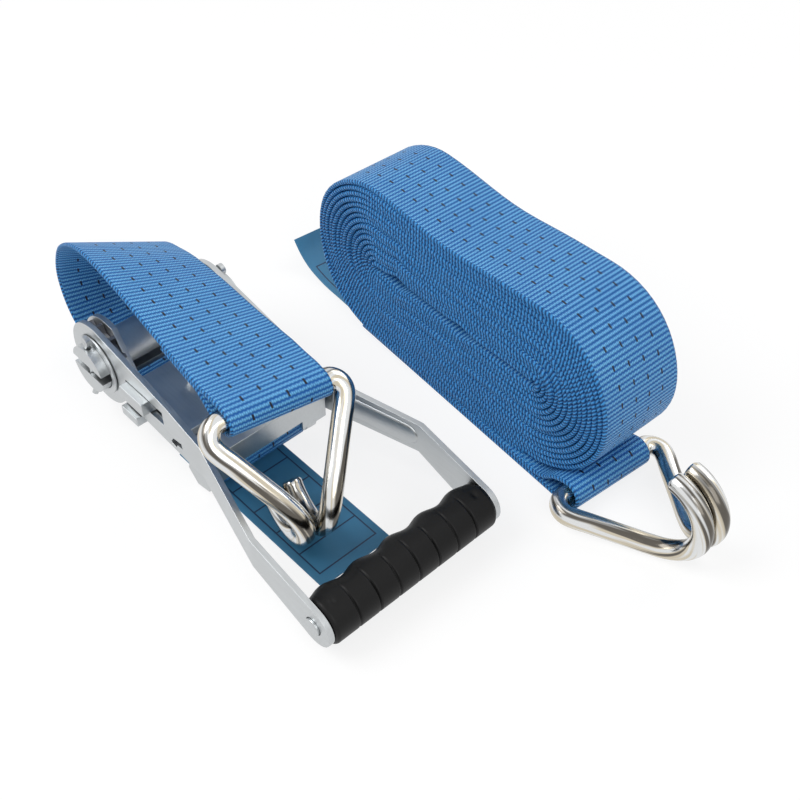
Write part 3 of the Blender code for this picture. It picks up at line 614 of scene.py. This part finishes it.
def woven_strap(sizes, colours):
    """Heavy polyester webbing: cross ribs of side by side yarns, every other one a little later, the rib tops
    painted lighter as a highlight and the grooves between them painted darker as shade, four lines of dark
    dashes, each a little later than the line beside it, slanted pale loops on the woven edges with painted
    shade between them and zigzag rows where sewn."""
    made = Finish("woven_strap")
    across, along = made.cloth_place()
    width = sizes.web_width
    yarn_at = made.math("MULTIPLY", across, round(width / sizes.yarn_pitch))
    odd = made.math("FLOORED_MODULO", made.math("FLOOR", yarn_at), 2.0)
    rib_at = made.math("MULTIPLY_ADD", odd, 0.10, made.math("MULTIPLY", along, width / sizes.rib_pitch))
    rib = made.wave("COSINE", rib_at)
    yarn = made.math("ABSOLUTE", made.math("SINE", made.math("MULTIPLY", yarn_at, math.pi)))
    height = made.math("MULTIPLY", made.math("POWER", rib, 0.7), made.span(yarn, 0.45, 1.0))
    thread = made.noise(1500.0)
    cloud = made.noise(38.0)
    # painted light: from the shaded groove colour to the lit rib colour with the weave's height, times a
    # random tone
    rib_shade_and_tone = made.math("MULTIPLY", made.math("POWER", height, 1.5), made.span(cloud, 0.75, 1.35))
    rib_shade_and_tone = made.math("ADD", rib_shade_and_tone, made.span(thread, -0.14, 0.14))
    cloth = made.mix(rib_shade_and_tone, colours.web_groove, colours.web_rib)

    offset = made.math("SUBTRACT", across, 0.5)
    aside = made.math("ABSOLUTE", offset)
    lines = made.math("MAXIMUM", *(made.math("COMPARE", aside, line / width, DASH_HALF / width)
                                   for line in DASH_LINES))
    column = made.math("FLOOR", made.math("MULTIPLY", offset, width / DASH_APART))
    beat = made.math("MULTIPLY_ADD", column, 0.2, made.math("MULTIPLY", along, width / sizes.dash_pitch))
    dashed = made.math("MULTIPLY", lines, made.math("LESS_THAN", made.math("FRACT", beat), 0.30))
    marked = made.mix(dashed, cloth, colours.dash)

    row = made.math("PINGPONG", made.math("MULTIPLY", along, width / STITCH_PITCH), 0.5)
    stitch = made.math("FRACT", made.math("MULTIPLY_ADD", across, 7.0, row))
    stitch = made.math("MULTIPLY", made.math("COMPARE", stitch, 0.5, 0.07), made.mark("sewn"))
    marked = made.mix(stitch, marked, colours.web_fray)

    slant = made.math("MULTIPLY", along, width / LOOP_PITCH)
    slant = made.math("MULTIPLY_ADD", made.mark("level"), 0.38, slant)
    slant = made.math("ADD", slant, made.span(made.noise(260.0), -0.5, 0.5))
    loop = made.math("MULTIPLY", made.wave("SINE", slant), made.span(thread, 0.5, 1.5))
    # painted shade: the darkened groove colour between the pale loops of the woven edge
    edge = made.mix(loop, tinted(colours.web_groove, 0.4), colours.web_fray)
    selvedge = made.math("GREATER_THAN", aside, 0.5)
    height = made.mix_plain(selvedge, made.math("MULTIPLY_ADD", stitch, 0.6, height), loop)
    made.set(Base_Color=made.mix(selvedge, marked, edge), Roughness=made.span(height, 0.60, 0.30),
             Specular_IOR_Level=0.3)
    made.bump(height, 0.0006, 0.9)
    return made.skin


def label_cloth(sizes, colours, boxes):
    """Coated label cloth: dull blue with a fine weave and empty ruled boxes; boxes are lines across, in
    label widths."""
    made = Finish("label_cloth")
    across, along = made.cloth_place()
    fine = 140.0 * math.pi
    weave = made.math("MULTIPLY", made.math("SINE", made.math("MULTIPLY", across, fine)),
                      made.math("SINE", made.math("MULTIPLY", along, fine)))
    cloud = made.noise(45.0)
    cloth = made.mix(cloud, tinted(colours.label, 0.78), tinted(colours.label, 1.25))
    line, margin = 0.0004 / sizes.label_width, 0.42
    aside = made.math("ABSOLUTE", made.math("SUBTRACT", across, 0.5))
    inside = made.math("MULTIPLY", made.math("LESS_THAN", aside, margin),
                       made.math("MULTIPLY", made.math("GREATER_THAN", along, boxes[0] - line),
                                 made.math("LESS_THAN", along, boxes[-1] + line)))
    rules = made.math("COMPARE", aside, margin - line, line)
    for at in boxes:
        rules = made.math("MAXIMUM", rules, made.math("COMPARE", along, at, line))
    ruled = made.math("MULTIPLY", rules, inside)
    made.set(Base_Color=made.mix(ruled, cloth, colours.label_rule), Roughness=made.span(cloud, 0.42, 0.6),
             Sheen_Weight=0.1)
    made.bump(weave, 0.00006, 0.3)
    return made.skin


def finish_of(maker, *settings):
    """A finish by its maker's name, made the first time it is asked for."""
    return bpy.data.materials.get(maker.__name__) or maker(*settings)


def user_settings(context):
    """The scene's sizes and colours."""
    return context.scene.tie_down_sizes, context.scene.tie_down_colours


def coil_line(x0, x1, z, radius, turns):
    """A helix along X between two end planes: y and z go round a circle while x runs on."""
    share = np.linspace(0.0, 1.0, turns * COIL_STEPS + 1)
    turn = 2 * math.pi * turns * share
    line = np.stack([x0 + (x1 - x0) * share, radius * np.sin(turn), z + radius * np.cos(turn)], axis=1)
    return line + GROUND


def spring(node, turns):
    """A compression spring in the place of its CAD node, coiled between the ends of the node's box."""
    low, high = (np.array(corner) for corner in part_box(node))
    middle = (low + high) / 2 - GROUND
    x0, x1 = low[0] - GROUND[0] + SPRING_WIRE, high[0] - GROUND[0] - SPRING_WIRE
    line = coil_line(x0, x1, middle[2], (high - low)[2] / 2 - SPRING_WIRE, turns)
    steel = finish_of(dark_steel, bpy.context.scene.tie_down_colours)
    ahead = np.broadcast_to((1.0, 0.0, 0.0), line.shape)
    piece = rod(node + "_wire", line, ahead, SPRING_WIRE, steel, WIRE_SIDES)
    stand_in(piece, node, frame["nodes"][node]["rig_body"])
    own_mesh(piece)


class TIEDOWN_OT_frame(bpy.types.Operator):
    """Finish the frame plates, base, strap bolt, lock pawl and the lock pawl's spring."""

    bl_idname = "tiedown.frame"
    bl_label = "Ratchet frame"

    def execute(self, context):
        sizes, colours = user_settings(context)
        zinc = finish_of(plated_sheet, colours)
        steel = finish_of(dark_steel, colours)
        for node in ("frame_plate_left", "frame_plate_right", "frame_base", "strap_bolt", "bolt_nut",
                     "lock_pawl"):
            softened(node, zinc, sizes.plate_edge)
        softened("bolt_sleeve", steel, 0.0)
        spring("lock_pawl_spring", LOCK_COILS)
        return {"FINISHED"}


class TIEDOWN_OT_mandrel(bpy.types.Operator):
    """Finish the split mandrel, its toothed wheels, washers and split pins."""

    bl_idname = "tiedown.mandrel"
    bl_label = "Mandrel"

    def execute(self, context):
        sizes, colours = user_settings(context)
        zinc = finish_of(plated_sheet, colours)
        steel = finish_of(dark_steel, colours)
        fine_edge = sizes.plate_edge * 0.7
        for node in ("mandrel_half_upper", "mandrel_half_lower", "mandrel_washer_left",
                     "mandrel_washer_right"):
            softened(node, zinc, fine_edge)
        for node in ("cotter_pin_left", "cotter_pin_right"):
            softened(node, zinc, 0.0)
        for node in ("ratchet_wheel_left", "ratchet_wheel_right"):
            softened(node, steel, fine_edge)
        return {"FINISHED"}


def arm_bead(node, inner, finish):
    """The low bead pressed in an arm's inner face: outlines at a set distance from the line between the
    bead's ends, each smaller and higher than the one before it, on the sloped face between the ends of the
    flare. Inner is 1 where that face looks to +Y and 0 where it looks to -Y."""
    box = np.array(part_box(node))
    facing = 2 * inner - 1
    narrow = box[inner, 1]
    wide = box[1 - inner, 1] + facing * PLATE_T
    turn = np.linspace(0.0, 2 * math.pi, BEAD_SIDES, endpoint=False)
    ends = np.array(ARM_BEAD)[(np.cos(turn) > 0.0).astype(int)]
    girth, rise = np.array(BEAD_GIRTH)[:, None], np.array(BEAD_RISE)[:, None]
    x = ends[:, 0] + girth * np.cos(turn)
    z = ends[:, 1] + girth * np.sin(turn)
    y = np.interp(x, FLARE, (narrow, wide)) + facing * rise
    rings = np.stack([x + GROUND[0], y, z + GROUND[2]], axis=-1)
    piece = ring_tube(node + "_bead", rings, finish)
    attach(piece, "handle")


class TIEDOWN_OT_handle(bpy.types.Operator):
    """Finish the arms, tie bar, stop bar, drive pawl and the drive pawl's spring."""

    bl_idname = "tiedown.handle"
    bl_label = "Handle"

    def execute(self, context):
        sizes, colours = user_settings(context)
        zinc = finish_of(plated_sheet, colours)
        for node in ("handle_arm_left", "handle_arm_right", "grip_tie_bar", "spring_stop_bar",
                     "drive_pawl"):
            softened(node, zinc, sizes.plate_edge)
        arm_bead("handle_arm_left", 1, zinc)
        arm_bead("handle_arm_right", 0, zinc)
        spring("drive_pawl_spring", DRIVE_COILS)
        return {"FINISHED"}


class TIEDOWN_OT_grip(bpy.types.Operator):
    """Mould the grip with its finger hollows and thin grooves."""

    bl_idname = "tiedown.grip"
    bl_label = "Grip"

    def execute(self, context):
        sizes, colours = user_settings(context)
        low, high = (np.array(corner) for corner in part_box("grip"))
        radius = (high[2] - low[2]) / 2
        centre = np.array((high[0] - radius, 0.0, (low[2] + high[2]) / 2))
        shape = grip_rings(low[1], high[1], centre, radius, sizes.grip_groove)
        piece = ring_tube("grip_moulding", shape, finish_of(moulded_plastic, colours))
        stand_in(piece, "grip", "handle")
        return {"FINISHED"}


def grip_rings(y0, y1, centre, radius, groove):
    """The grip's skin: a circle along Y whose radius loses a cosine of five hollows on the side that faces
    the frame, seven narrow bell-shaped grooves on the outside, a small moulding pip near each end and
    quarter-round ends."""
    share = np.linspace(0.0, 1.0, GRIP_ROWS)
    end_share = np.minimum(share, 1.0 - share)
    turn = np.linspace(0.0, 2 * math.pi, GRIP_SIDES, endpoint=False)
    hollow = 0.5 + 0.5 * np.cos(2 * math.pi * GRIP_HOLLOWS * share)
    facing = np.clip(np.cos(turn - math.pi), 0.0, 1.0)
    groove_at = np.linspace(*GROOVE_ENDS, GRIP_GROOVES)
    grooves = np.exp(-((share[:, None] - groove_at[None, :]) / GROOVE_SHARE) ** 2).sum(axis=1)
    to_end = np.clip(end_share * (y1 - y0) / GRIP_ROUND, 0.0, 1.0)
    lost = GRIP_ROUND * (1.0 - np.sqrt(1.0 - (1.0 - to_end) ** 2))
    outside = np.clip(0.35 + np.cos(turn), 0.0, 1.0)
    pip = np.exp(-((end_share[:, None] - PIP_SHARE) * (y1 - y0) / PIP_R) ** 2
                 - ((turn[None, :] - PIP_TURN) * radius / PIP_R) ** 2)
    reach = radius - HOLLOW_DEPTH * hollow[:, None] * facing[None, :] - lost[:, None] - PIP_DEPTH * pip
    reach = reach - groove * grooves[:, None] * outside[None, :]
    y = np.broadcast_to((y0 + (y1 - y0) * share)[:, None], reach.shape)
    return np.stack([centre[0] + reach * np.cos(turn), y, centre[2] + reach * np.sin(turn)], axis=-1)


def hook_line(curl_sign):
    """Rod centre line of a double J hook: u ahead of the bar, v across the hook's plane, y along the bar. The
    legs run straight into the J and draw together over its first part."""
    swing = (math.pi / 2 + HOOK_SLANT) * np.linspace(1.0 / 7, 1.0, 7)
    corner = np.stack([HOOK_BEND - HOOK_BEND * np.cos(swing), 0 * swing,
                       HOOK_HALF + HOOK_BEND * np.sin(swing)], axis=1)
    spare = HOOK_CURL * math.tan(HOOK_SLANT) * HOOK_EASE / 2
    reach = (corner[-1, 2] - HOOK_LEG - spare) / math.sin(HOOK_SLANT)
    slope = np.array((math.cos(HOOK_SLANT), 0.0, -math.sin(HOOK_SLANT)))
    straight = corner[-1] + np.linspace(0.25, 1.0, 4)[:, None] * reach * slope
    bend = HOOK_TIP * np.linspace(1.0 / 11, 1.0, 11)
    curl = np.stack([straight[-1, 0] + HOOK_CURL * np.sin(bend), curl_sign * HOOK_CURL * (1 - np.cos(bend)),
                     HOOK_LEG + spare * np.clip(1 - bend / HOOK_EASE, 0.0, None) ** 2], axis=1)
    bar = np.array([(0.0, 0.0, 0.011), (0.0, 0.0, HOOK_HALF)])
    one_side = np.concatenate([bar, corner, straight, curl])
    other = one_side[::-1] * np.array((1.0, 1.0, -1.0))
    return smooth_line(np.concatenate([other, [(0.0, 0.0, 0.0)], one_side]), HOOK_STEP)


def hook(name, bar, pitch, yaw, curl_sign, finish):
    """A hook with its bar at a point, dipped by pitch and turned by yaw. The rod's side vector is taken from
    a slanted direction that the rod never runs along, so that it doesn't twist."""
    local = hook_line(curl_sign)
    level = np.array((math.cos(yaw), math.sin(yaw), 0.0))
    up = np.array((0.0, 0.0, 1.0))
    ahead = math.cos(pitch) * level - math.sin(pitch) * up
    across = math.sin(pitch) * level + math.cos(pitch) * up
    along_bar = np.array((-math.sin(yaw), math.cos(yaw), 0.0))
    line = bar + local[:, :1] * ahead + local[:, 1:2] * across + local[:, 2:] * along_bar
    side = np.broadcast_to(across + along_bar, line.shape)
    stand_in(rod(name + "_rod", line, side, ROD_R, finish, HOOK_SIDES), name, name)


class TIEDOWN_OT_hooks(bpy.types.Operator):
    """Bend both double J hooks from plated rod."""

    bl_idname = "tiedown.hooks"
    bl_label = "Hooks"

    def execute(self, context):
        bright = finish_of(plated_rod, context.scene.tie_down_colours)
        hook("hook_short", SHORT_BAR, HOOK_PITCH, SHORT_YAW, -1.0, bright)
        lie = math.atan2(LONG_BAR[2] - GROUND[2] - ROD_R - LIE_GAP, LIE_REACH)
        hook("hook_long", LONG_BAR, lie, TAIL_YAW, 1.0, bright)
        return {"FINISHED"}


def short_strap_line(bolt_x, bolt_z, bar_x, bar_z):
    """Centre line of the short strap in X and Z: sewn end, loop on the bolt, lower run, big bend, top run,
    loop on the hook's bar and sewn end."""
    bolt = arc_points(bolt_x, bolt_z, BOLT_LOOP_R, (115, 90, 60, 30, 0, -30, -60, -90))
    top = RUN_Z + LAYER
    sewn = [(0.0080, top), (0.0250, top), (0.0450, top), (0.0515, top + 0.0006),
            (0.0580, bolt_z - 0.0015), (0.0655, bolt_z + 0.0045)]
    run = [(0.060, RUN_Z), (0.030, RUN_Z), (0.002, RUN_Z), (-0.016, RUN_Z + 0.0010), (-0.034, 0.0140),
           (-0.0465, 0.0290), (-0.0480, 0.0470), (-0.0400, 0.0640), (-0.0235, 0.0785), (-0.0020, 0.0848),
           (0.0250, 0.0858), (0.0600, bar_z + 0.0086), (bar_x - 0.033, bar_z + 0.0078),
           (bar_x - 0.013, bar_z + 0.0074)]
    bar = arc_points(bar_x, bar_z, LOOP_R, (86, 55, 25, -5, -35, -65, -95, -118))
    back = [(bar_x - 0.012, bar_z - 0.0010), (bar_x - 0.020, bar_z + 0.0044),
            (bar_x - 0.028, bar_z + 0.0050), (bar_x - 0.038, bar_z + 0.0053),
            (bar_x - 0.048, bar_z + 0.0057)]
    return smooth_line(np.concatenate([sewn, bolt, run, bar, back]), STRAP_STEP)


def short_strap_lie(flat, bar_x, bar_y):
    """How the strap lies at each point of its line: its drift to the left, and the vector across it. Both
    grow from nothing on the floor to their full amount on the upper run, where the strap follows the hook's
    turn."""
    x, z = flat[:, 0], flat[:, 1]
    lift = np.clip((z - LIFT_FROM) / LIFT_SPAN, 0.0, 1.0)
    lift = np.where(x > 0.05, np.where(z > 0.05, 1.0, 0.0), np.where((x > -0.01) & (z < 0.03), 0.0, lift))
    share = np.clip((x - DRIFT_FROM) / (bar_x - DRIFT_FROM), 0.0, 1.0)
    drift = (BEND_SIDE + (bar_y - BEND_SIDE) * share) * lift
    lean = -math.tan(SHORT_YAW) * lift
    tilt = STRAP_TILT * np.clip((TILT_END - x) / TILT_SPAN, 0.0, 1.0) * lift
    return drift, np.stack([lean, np.ones_like(lean), tilt], axis=1)


class TIEDOWN_OT_short_strap(bpy.types.Operator):
    """Weave the short strap through the ratchet, with its sewn ends and label."""

    bl_idname = "tiedown.short_strap"
    bl_label = "Short strap"

    def execute(self, context):
        sizes, colours = user_settings(context)
        low, high = (np.array(corner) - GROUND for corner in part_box("bolt_sleeve"))
        bar = SHORT_BAR - GROUND
        flat = short_strap_line((low[0] + high[0]) / 2, (low[2] + high[2]) / 2, bar[0], bar[2])
        drift, sideways = short_strap_lie(flat, bar[0], bar[1])
        line = upright_line(flat, drift) + GROUND
        web = finish_of(woven_strap, sizes, colours)
        at = run_length(line)
        sewn = np.maximum(at < BOLT_SEWN, at > at[-1] - BAR_SEWN)
        strap = band("short_strap", line, sideways, sizes.web_width, sizes.web_thick, web, sewn)
        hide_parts("short_strap_anchor", "short_strap_bend", "short_strap_upper")
        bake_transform(strap)
        label_short(sizes, colours)
        return {"FINISHED"}


def label_short(sizes, colours):
    """The label on the floor under the hook: the band profile carried along a level line."""
    low, high = (np.array(corner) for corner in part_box("label_short"))
    middle = (low + high) / 2
    line = np.linspace((low[0], *middle[1:]), (high[0], *middle[1:]), LABEL_ROWS)
    cloth = label_cloth(sizes, colours, SHORT_BOXES)
    label = band("short_label", line, level_across(line, 0.0), sizes.label_width, LABEL_T, cloth)
    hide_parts("label_short")
    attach(label, "frame")


def roll_line():
    """The roll's centre line in X and Z: a stadium spiral, two level runs and two half circles to each turn,
    the radius growing evenly, with a shallow dip on top in the middle and two slack places beside the core.
    A turn has 24 parts: 4 for the run on top, 8 for a half circle, 4 for the lower run and 8 for the other
    half circle. The last turn stops before its second half circle."""
    last = ROLL_TURNS - 8.0 / 24.0
    turns = np.linspace(0.0, last, round(last * ROLL_STEPS) + 1)
    radius = ROLL_PITCH * (turns + ROLL_CORE)
    part = 24.0 * (turns - np.floor(turns))
    left = math.pi / 2 + math.pi * (part - 4.0) / 8.0
    right = -math.pi / 2 + math.pi * (part - 16.0) / 8.0
    regions = [part < 4.0, part < 12.0, part < 16.0]
    x = np.select(regions, [ROLL_FLAT * (1 - part / 2), -ROLL_FLAT + radius * np.cos(left),
                            -ROLL_FLAT * (1 - (part - 12.0) / 2)], ROLL_FLAT + radius * np.cos(right))
    z = np.select(regions, [radius, radius * np.sin(left), -radius], radius * np.sin(right))
    z = z - ROLL_DIP * np.clip(z / DIP_HEIGHT, 0.0, 1.2) * np.exp(-(x / DIP_SPAN) ** 2)
    slack = sum(share * np.exp(-((x - at) / SLACK_SPAN) ** 2) for at, share in SLACK_PLACES)
    z = z + ROLL_SLACK * np.sign(z) * slack * np.clip(1.0 - turns / SLACK_TURNS, 0.0, 1.0)
    return np.stack([x, z], axis=1)


class TIEDOWN_OT_long_strap(bpy.types.Operator):
    """Roll up the long strap, with its sewn tail and label."""

    bl_idname = "tiedown.long_strap"
    bl_label = "Long strap"

    def execute(self, context):
        sizes, colours = user_settings(context)
        web = finish_of(woven_strap, sizes, colours)
        flat = roll_line()
        flat[:, 1] += TAIL_Z + 2 * LAYER - flat[:, 1].min()
        at = run_length(flat)
        uneven = sum(size * np.sin(at / span + start) for size, span, start in EDGE_WANDER)
        line = laid(upright_line(flat, uneven), ROLL_PLACE, ROLL_YAW)
        roll = band("long_strap", line, level_across(line, ROLL_YAW), sizes.web_width, sizes.roll_thick, web)
        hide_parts("long_strap_roll")
        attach(roll, "long_strap")
        self.tail(sizes, web)
        self.label(sizes, colours)
        return {"FINISHED"}

    def tail(self, sizes, web):
        """The hooked end under the roll: a level run, a loop on the bar and a sewn layer on top."""
        bar_z = TAIL_Z + LOOP_R
        high = TAIL_Z + LAYER
        loop = arc_points(0.0, bar_z, LOOP_R, (-90, -60, -30, 0, 30, 60, 90, 112))
        under = [(x, TAIL_Z) for x in (-0.165, -0.120, -0.070, -0.030, -0.012)]
        over = [(-0.0100, bar_z + 0.0035), (-0.0170, bar_z - 0.0022), (-0.0240, high), (-0.0300, high),
                (-0.060, high), (-0.110, high)]
        flat = smooth_line(np.concatenate([under, loop, over]), STRAP_STEP)
        line = laid(upright_line(flat), TAIL_PLACE, TAIL_YAW)
        at = run_length(line)
        tail = band("long_strap_end", line, level_across(line, TAIL_YAW), sizes.web_width, sizes.web_thick,
                    web, at > at[-1] - TAIL_SEWN)
        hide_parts("long_strap_tail")
        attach(tail, "long_strap")

    def label(self, sizes, colours):
        """The label on the tail's end, level at first and then curling up."""
        tag = [(-0.1653, TAIL_Z), (-0.190, TAIL_Z), (-0.2120, TAIL_Z + 0.0008),
               (-0.2240, TAIL_Z + 0.0040), (-0.2310, TAIL_Z + 0.0085), (-0.2370, TAIL_Z + 0.0150)]
        line = laid(upright_line(smooth_line(tag, LABEL_STEP)), TAIL_PLACE, TAIL_YAW)
        cloth = label_cloth(sizes, colours, LONG_BOXES)
        label = band("long_label", line, level_across(line, TAIL_YAW), sizes.label_width, LABEL_T, cloth)
        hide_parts("label_long")
        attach(label, "long_strap")


def floor_finish():
    """A pale floor: white to the eye, to reflections and through glass, with a plain matt share for
    shadows."""
    skin = bpy.data.materials.new("pale_floor")
    skin.use_nodes = True
    tree = skin.node_tree
    tree.nodes.clear()
    out = tree.nodes.new("ShaderNodeOutputMaterial")
    choose = tree.nodes.new("ShaderNodeMixShader")
    matt = tree.nodes.new("ShaderNodeBsdfDiffuse")
    matt.inputs["Color"].default_value = (FLOOR_MATT, FLOOR_MATT, FLOOR_MATT, 1.0)
    shadow = tree.nodes.new("ShaderNodeBsdfDiffuse")
    shadow.inputs["Color"].default_value = (FLOOR_SHADOW, FLOOR_SHADOW, FLOOR_SHADOW, 1.0)
    glow = tree.nodes.new("ShaderNodeEmission")
    glow.inputs["Strength"].default_value = FLOOR_GLOW
    both = tree.nodes.new("ShaderNodeAddShader")
    join(tree, (shadow.outputs[0], both.inputs[0]), (glow.outputs[0], both.inputs[1]),
         (seen_ray(tree), choose.inputs[0]), (matt.outputs[0], choose.inputs[1]),
         (both.outputs[0], choose.inputs[2]), (choose.outputs[0], out.inputs["Surface"]))
    return skin


def join(tree, *pairs):
    """Link each pair of an output and an input."""
    for output, socket in pairs:
        tree.links.new(output, socket)


def seen_ray(tree):
    """One for camera, glossy and transmission rays, else zero."""
    ray = tree.nodes.new("ShaderNodeLightPath")
    pair = tree.nodes.new("ShaderNodeMath")
    pair.operation = "MAXIMUM"
    three = tree.nodes.new("ShaderNodeMath")
    three.operation = "MAXIMUM"
    join(tree, (ray.outputs["Is Camera Ray"], pair.inputs[0]), (ray.outputs["Is Glossy Ray"], pair.inputs[1]),
         (pair.outputs[0], three.inputs[0]), (ray.outputs["Is Transmission Ray"], three.inputs[1]))
    return three.outputs[0]


def white_world(level):
    """White where it is seen or mirrored, and a plain grey light otherwise."""
    world = bpy.data.worlds.new("studio")
    bpy.context.scene.world = world
    world.use_nodes = True
    tree = world.node_tree
    back = tree.nodes["Background"]
    spread = tree.nodes.new("ShaderNodeMapRange")
    spread.inputs["To Min"].default_value = level
    spread.inputs["To Max"].default_value = 1.0
    tree.links.new(seen_ray(tree), spread.inputs["Value"])
    back.inputs["Color"].default_value = (1.0, 1.0, 1.0, 1.0)
    tree.links.new(spread.outputs["Result"], back.inputs["Strength"])


def softbox(name, place, aim, size, power):
    """A square area light at a place, turned to its aim."""
    lamp = bpy.data.lights.new(name, "AREA")
    lamp.size = size
    lamp.energy = power
    holder = bpy.data.objects.new(name, lamp)
    bpy.context.scene.collection.objects.link(holder)
    holder.location = place
    holder.rotation_euler = direction(np.asarray(aim) - np.asarray(place)).to_euler()


def direction(vector):
    """The turn that points a lamp's or camera's view along a vector, with Z up."""
    return Vector(vector).to_track_quat("-Z", "Y")


class TIEDOWN_OT_stage(bpy.types.Operator):
    """Set the floor, the soft studio lamps, the world and the photograph's camera."""

    bl_idname = "tiedown.stage"
    bl_label = "Stage"

    def execute(self, context):
        scene = context.scene
        scene.view_settings.view_transform = "Standard"
        mesh = bpy.data.meshes.new("floor")
        reach, level = FLOOR_REACH, CAD_BOX[0][2] - FLOOR_DROP
        mesh.from_pydata([(-reach, -reach, level), (reach, -reach, level), (reach, reach, level),
                          (-reach, reach, level)], [], [(0, 1, 2, 3)])
        mesh.materials.append(floor_finish())
        floor = bpy.data.objects.new("floor", mesh)
        scene.collection.objects.link(floor)
        white_world(WORLD_LEVEL)
        for name, place, size, power in LAMPS:
            softbox(name, place, LAMP_AIM, size, power)
        lens = bpy.data.cameras.new("photo_camera")
        lens.lens = CAMERA_LENS
        lens.sensor_width = CAMERA_SENSOR
        camera = bpy.data.objects.new("photo_camera", lens)
        scene.collection.objects.link(camera)
        camera.location = AXLE + CAMERA_FROM_AXLE
        look = (-math.sin(CAMERA_AZIMUTH) * math.cos(CAMERA_DIP),
                math.cos(CAMERA_AZIMUTH) * math.cos(CAMERA_DIP), -math.sin(CAMERA_DIP))
        camera.rotation_euler = direction(look).to_euler()
        scene.camera = camera
        return {"FINISHED"}


class TIEDOWN_PT_panel(bpy.types.Panel):
    """Buttons and settings of the tie down."""

    bl_idname = "TIEDOWN_PT_panel"
    bl_label = "Ratchet tie down"
    bl_space_type = "VIEW_3D"
    bl_region_type = "UI"
    bl_category = "Tie down"

    def draw(self, context):
        for piece in PIECES:
            self.layout.operator(piece.bl_idname)
        for group in user_settings(context):
            for name in group.__annotations__:
                self.layout.prop(group, name)


PIECES = (TIEDOWN_OT_frame, TIEDOWN_OT_mandrel, TIEDOWN_OT_handle, TIEDOWN_OT_grip, TIEDOWN_OT_hooks,
          TIEDOWN_OT_short_strap, TIEDOWN_OT_long_strap, TIEDOWN_OT_stage)
CLASSES = (TieDownSizes, TieDownColours) + PIECES + (TIEDOWN_PT_panel,)


def register():
    """Add the classes and the scene's two groups of settings."""
    for entry in CLASSES:
        bpy.utils.register_class(entry)
    bpy.types.Scene.tie_down_sizes = PointerProperty(type=TieDownSizes)
    bpy.types.Scene.tie_down_colours = PointerProperty(type=TieDownColours)


def unregister():
    """Take away what register adds."""
    del bpy.types.Scene.tie_down_colours
    del bpy.types.Scene.tie_down_sizes
    for entry in reversed(CLASSES):
        bpy.utils.unregister_class(entry)


def main():
    """Register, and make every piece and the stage."""
    register()
    bpy.ops.tiedown.frame()
    bpy.ops.tiedown.mandrel()
    bpy.ops.tiedown.handle()
    bpy.ops.tiedown.grip()
    bpy.ops.tiedown.hooks()
    bpy.ops.tiedown.short_strap()
    bpy.ops.tiedown.long_strap()
    bpy.ops.tiedown.stage()


if __name__ == "__main__":
    main()
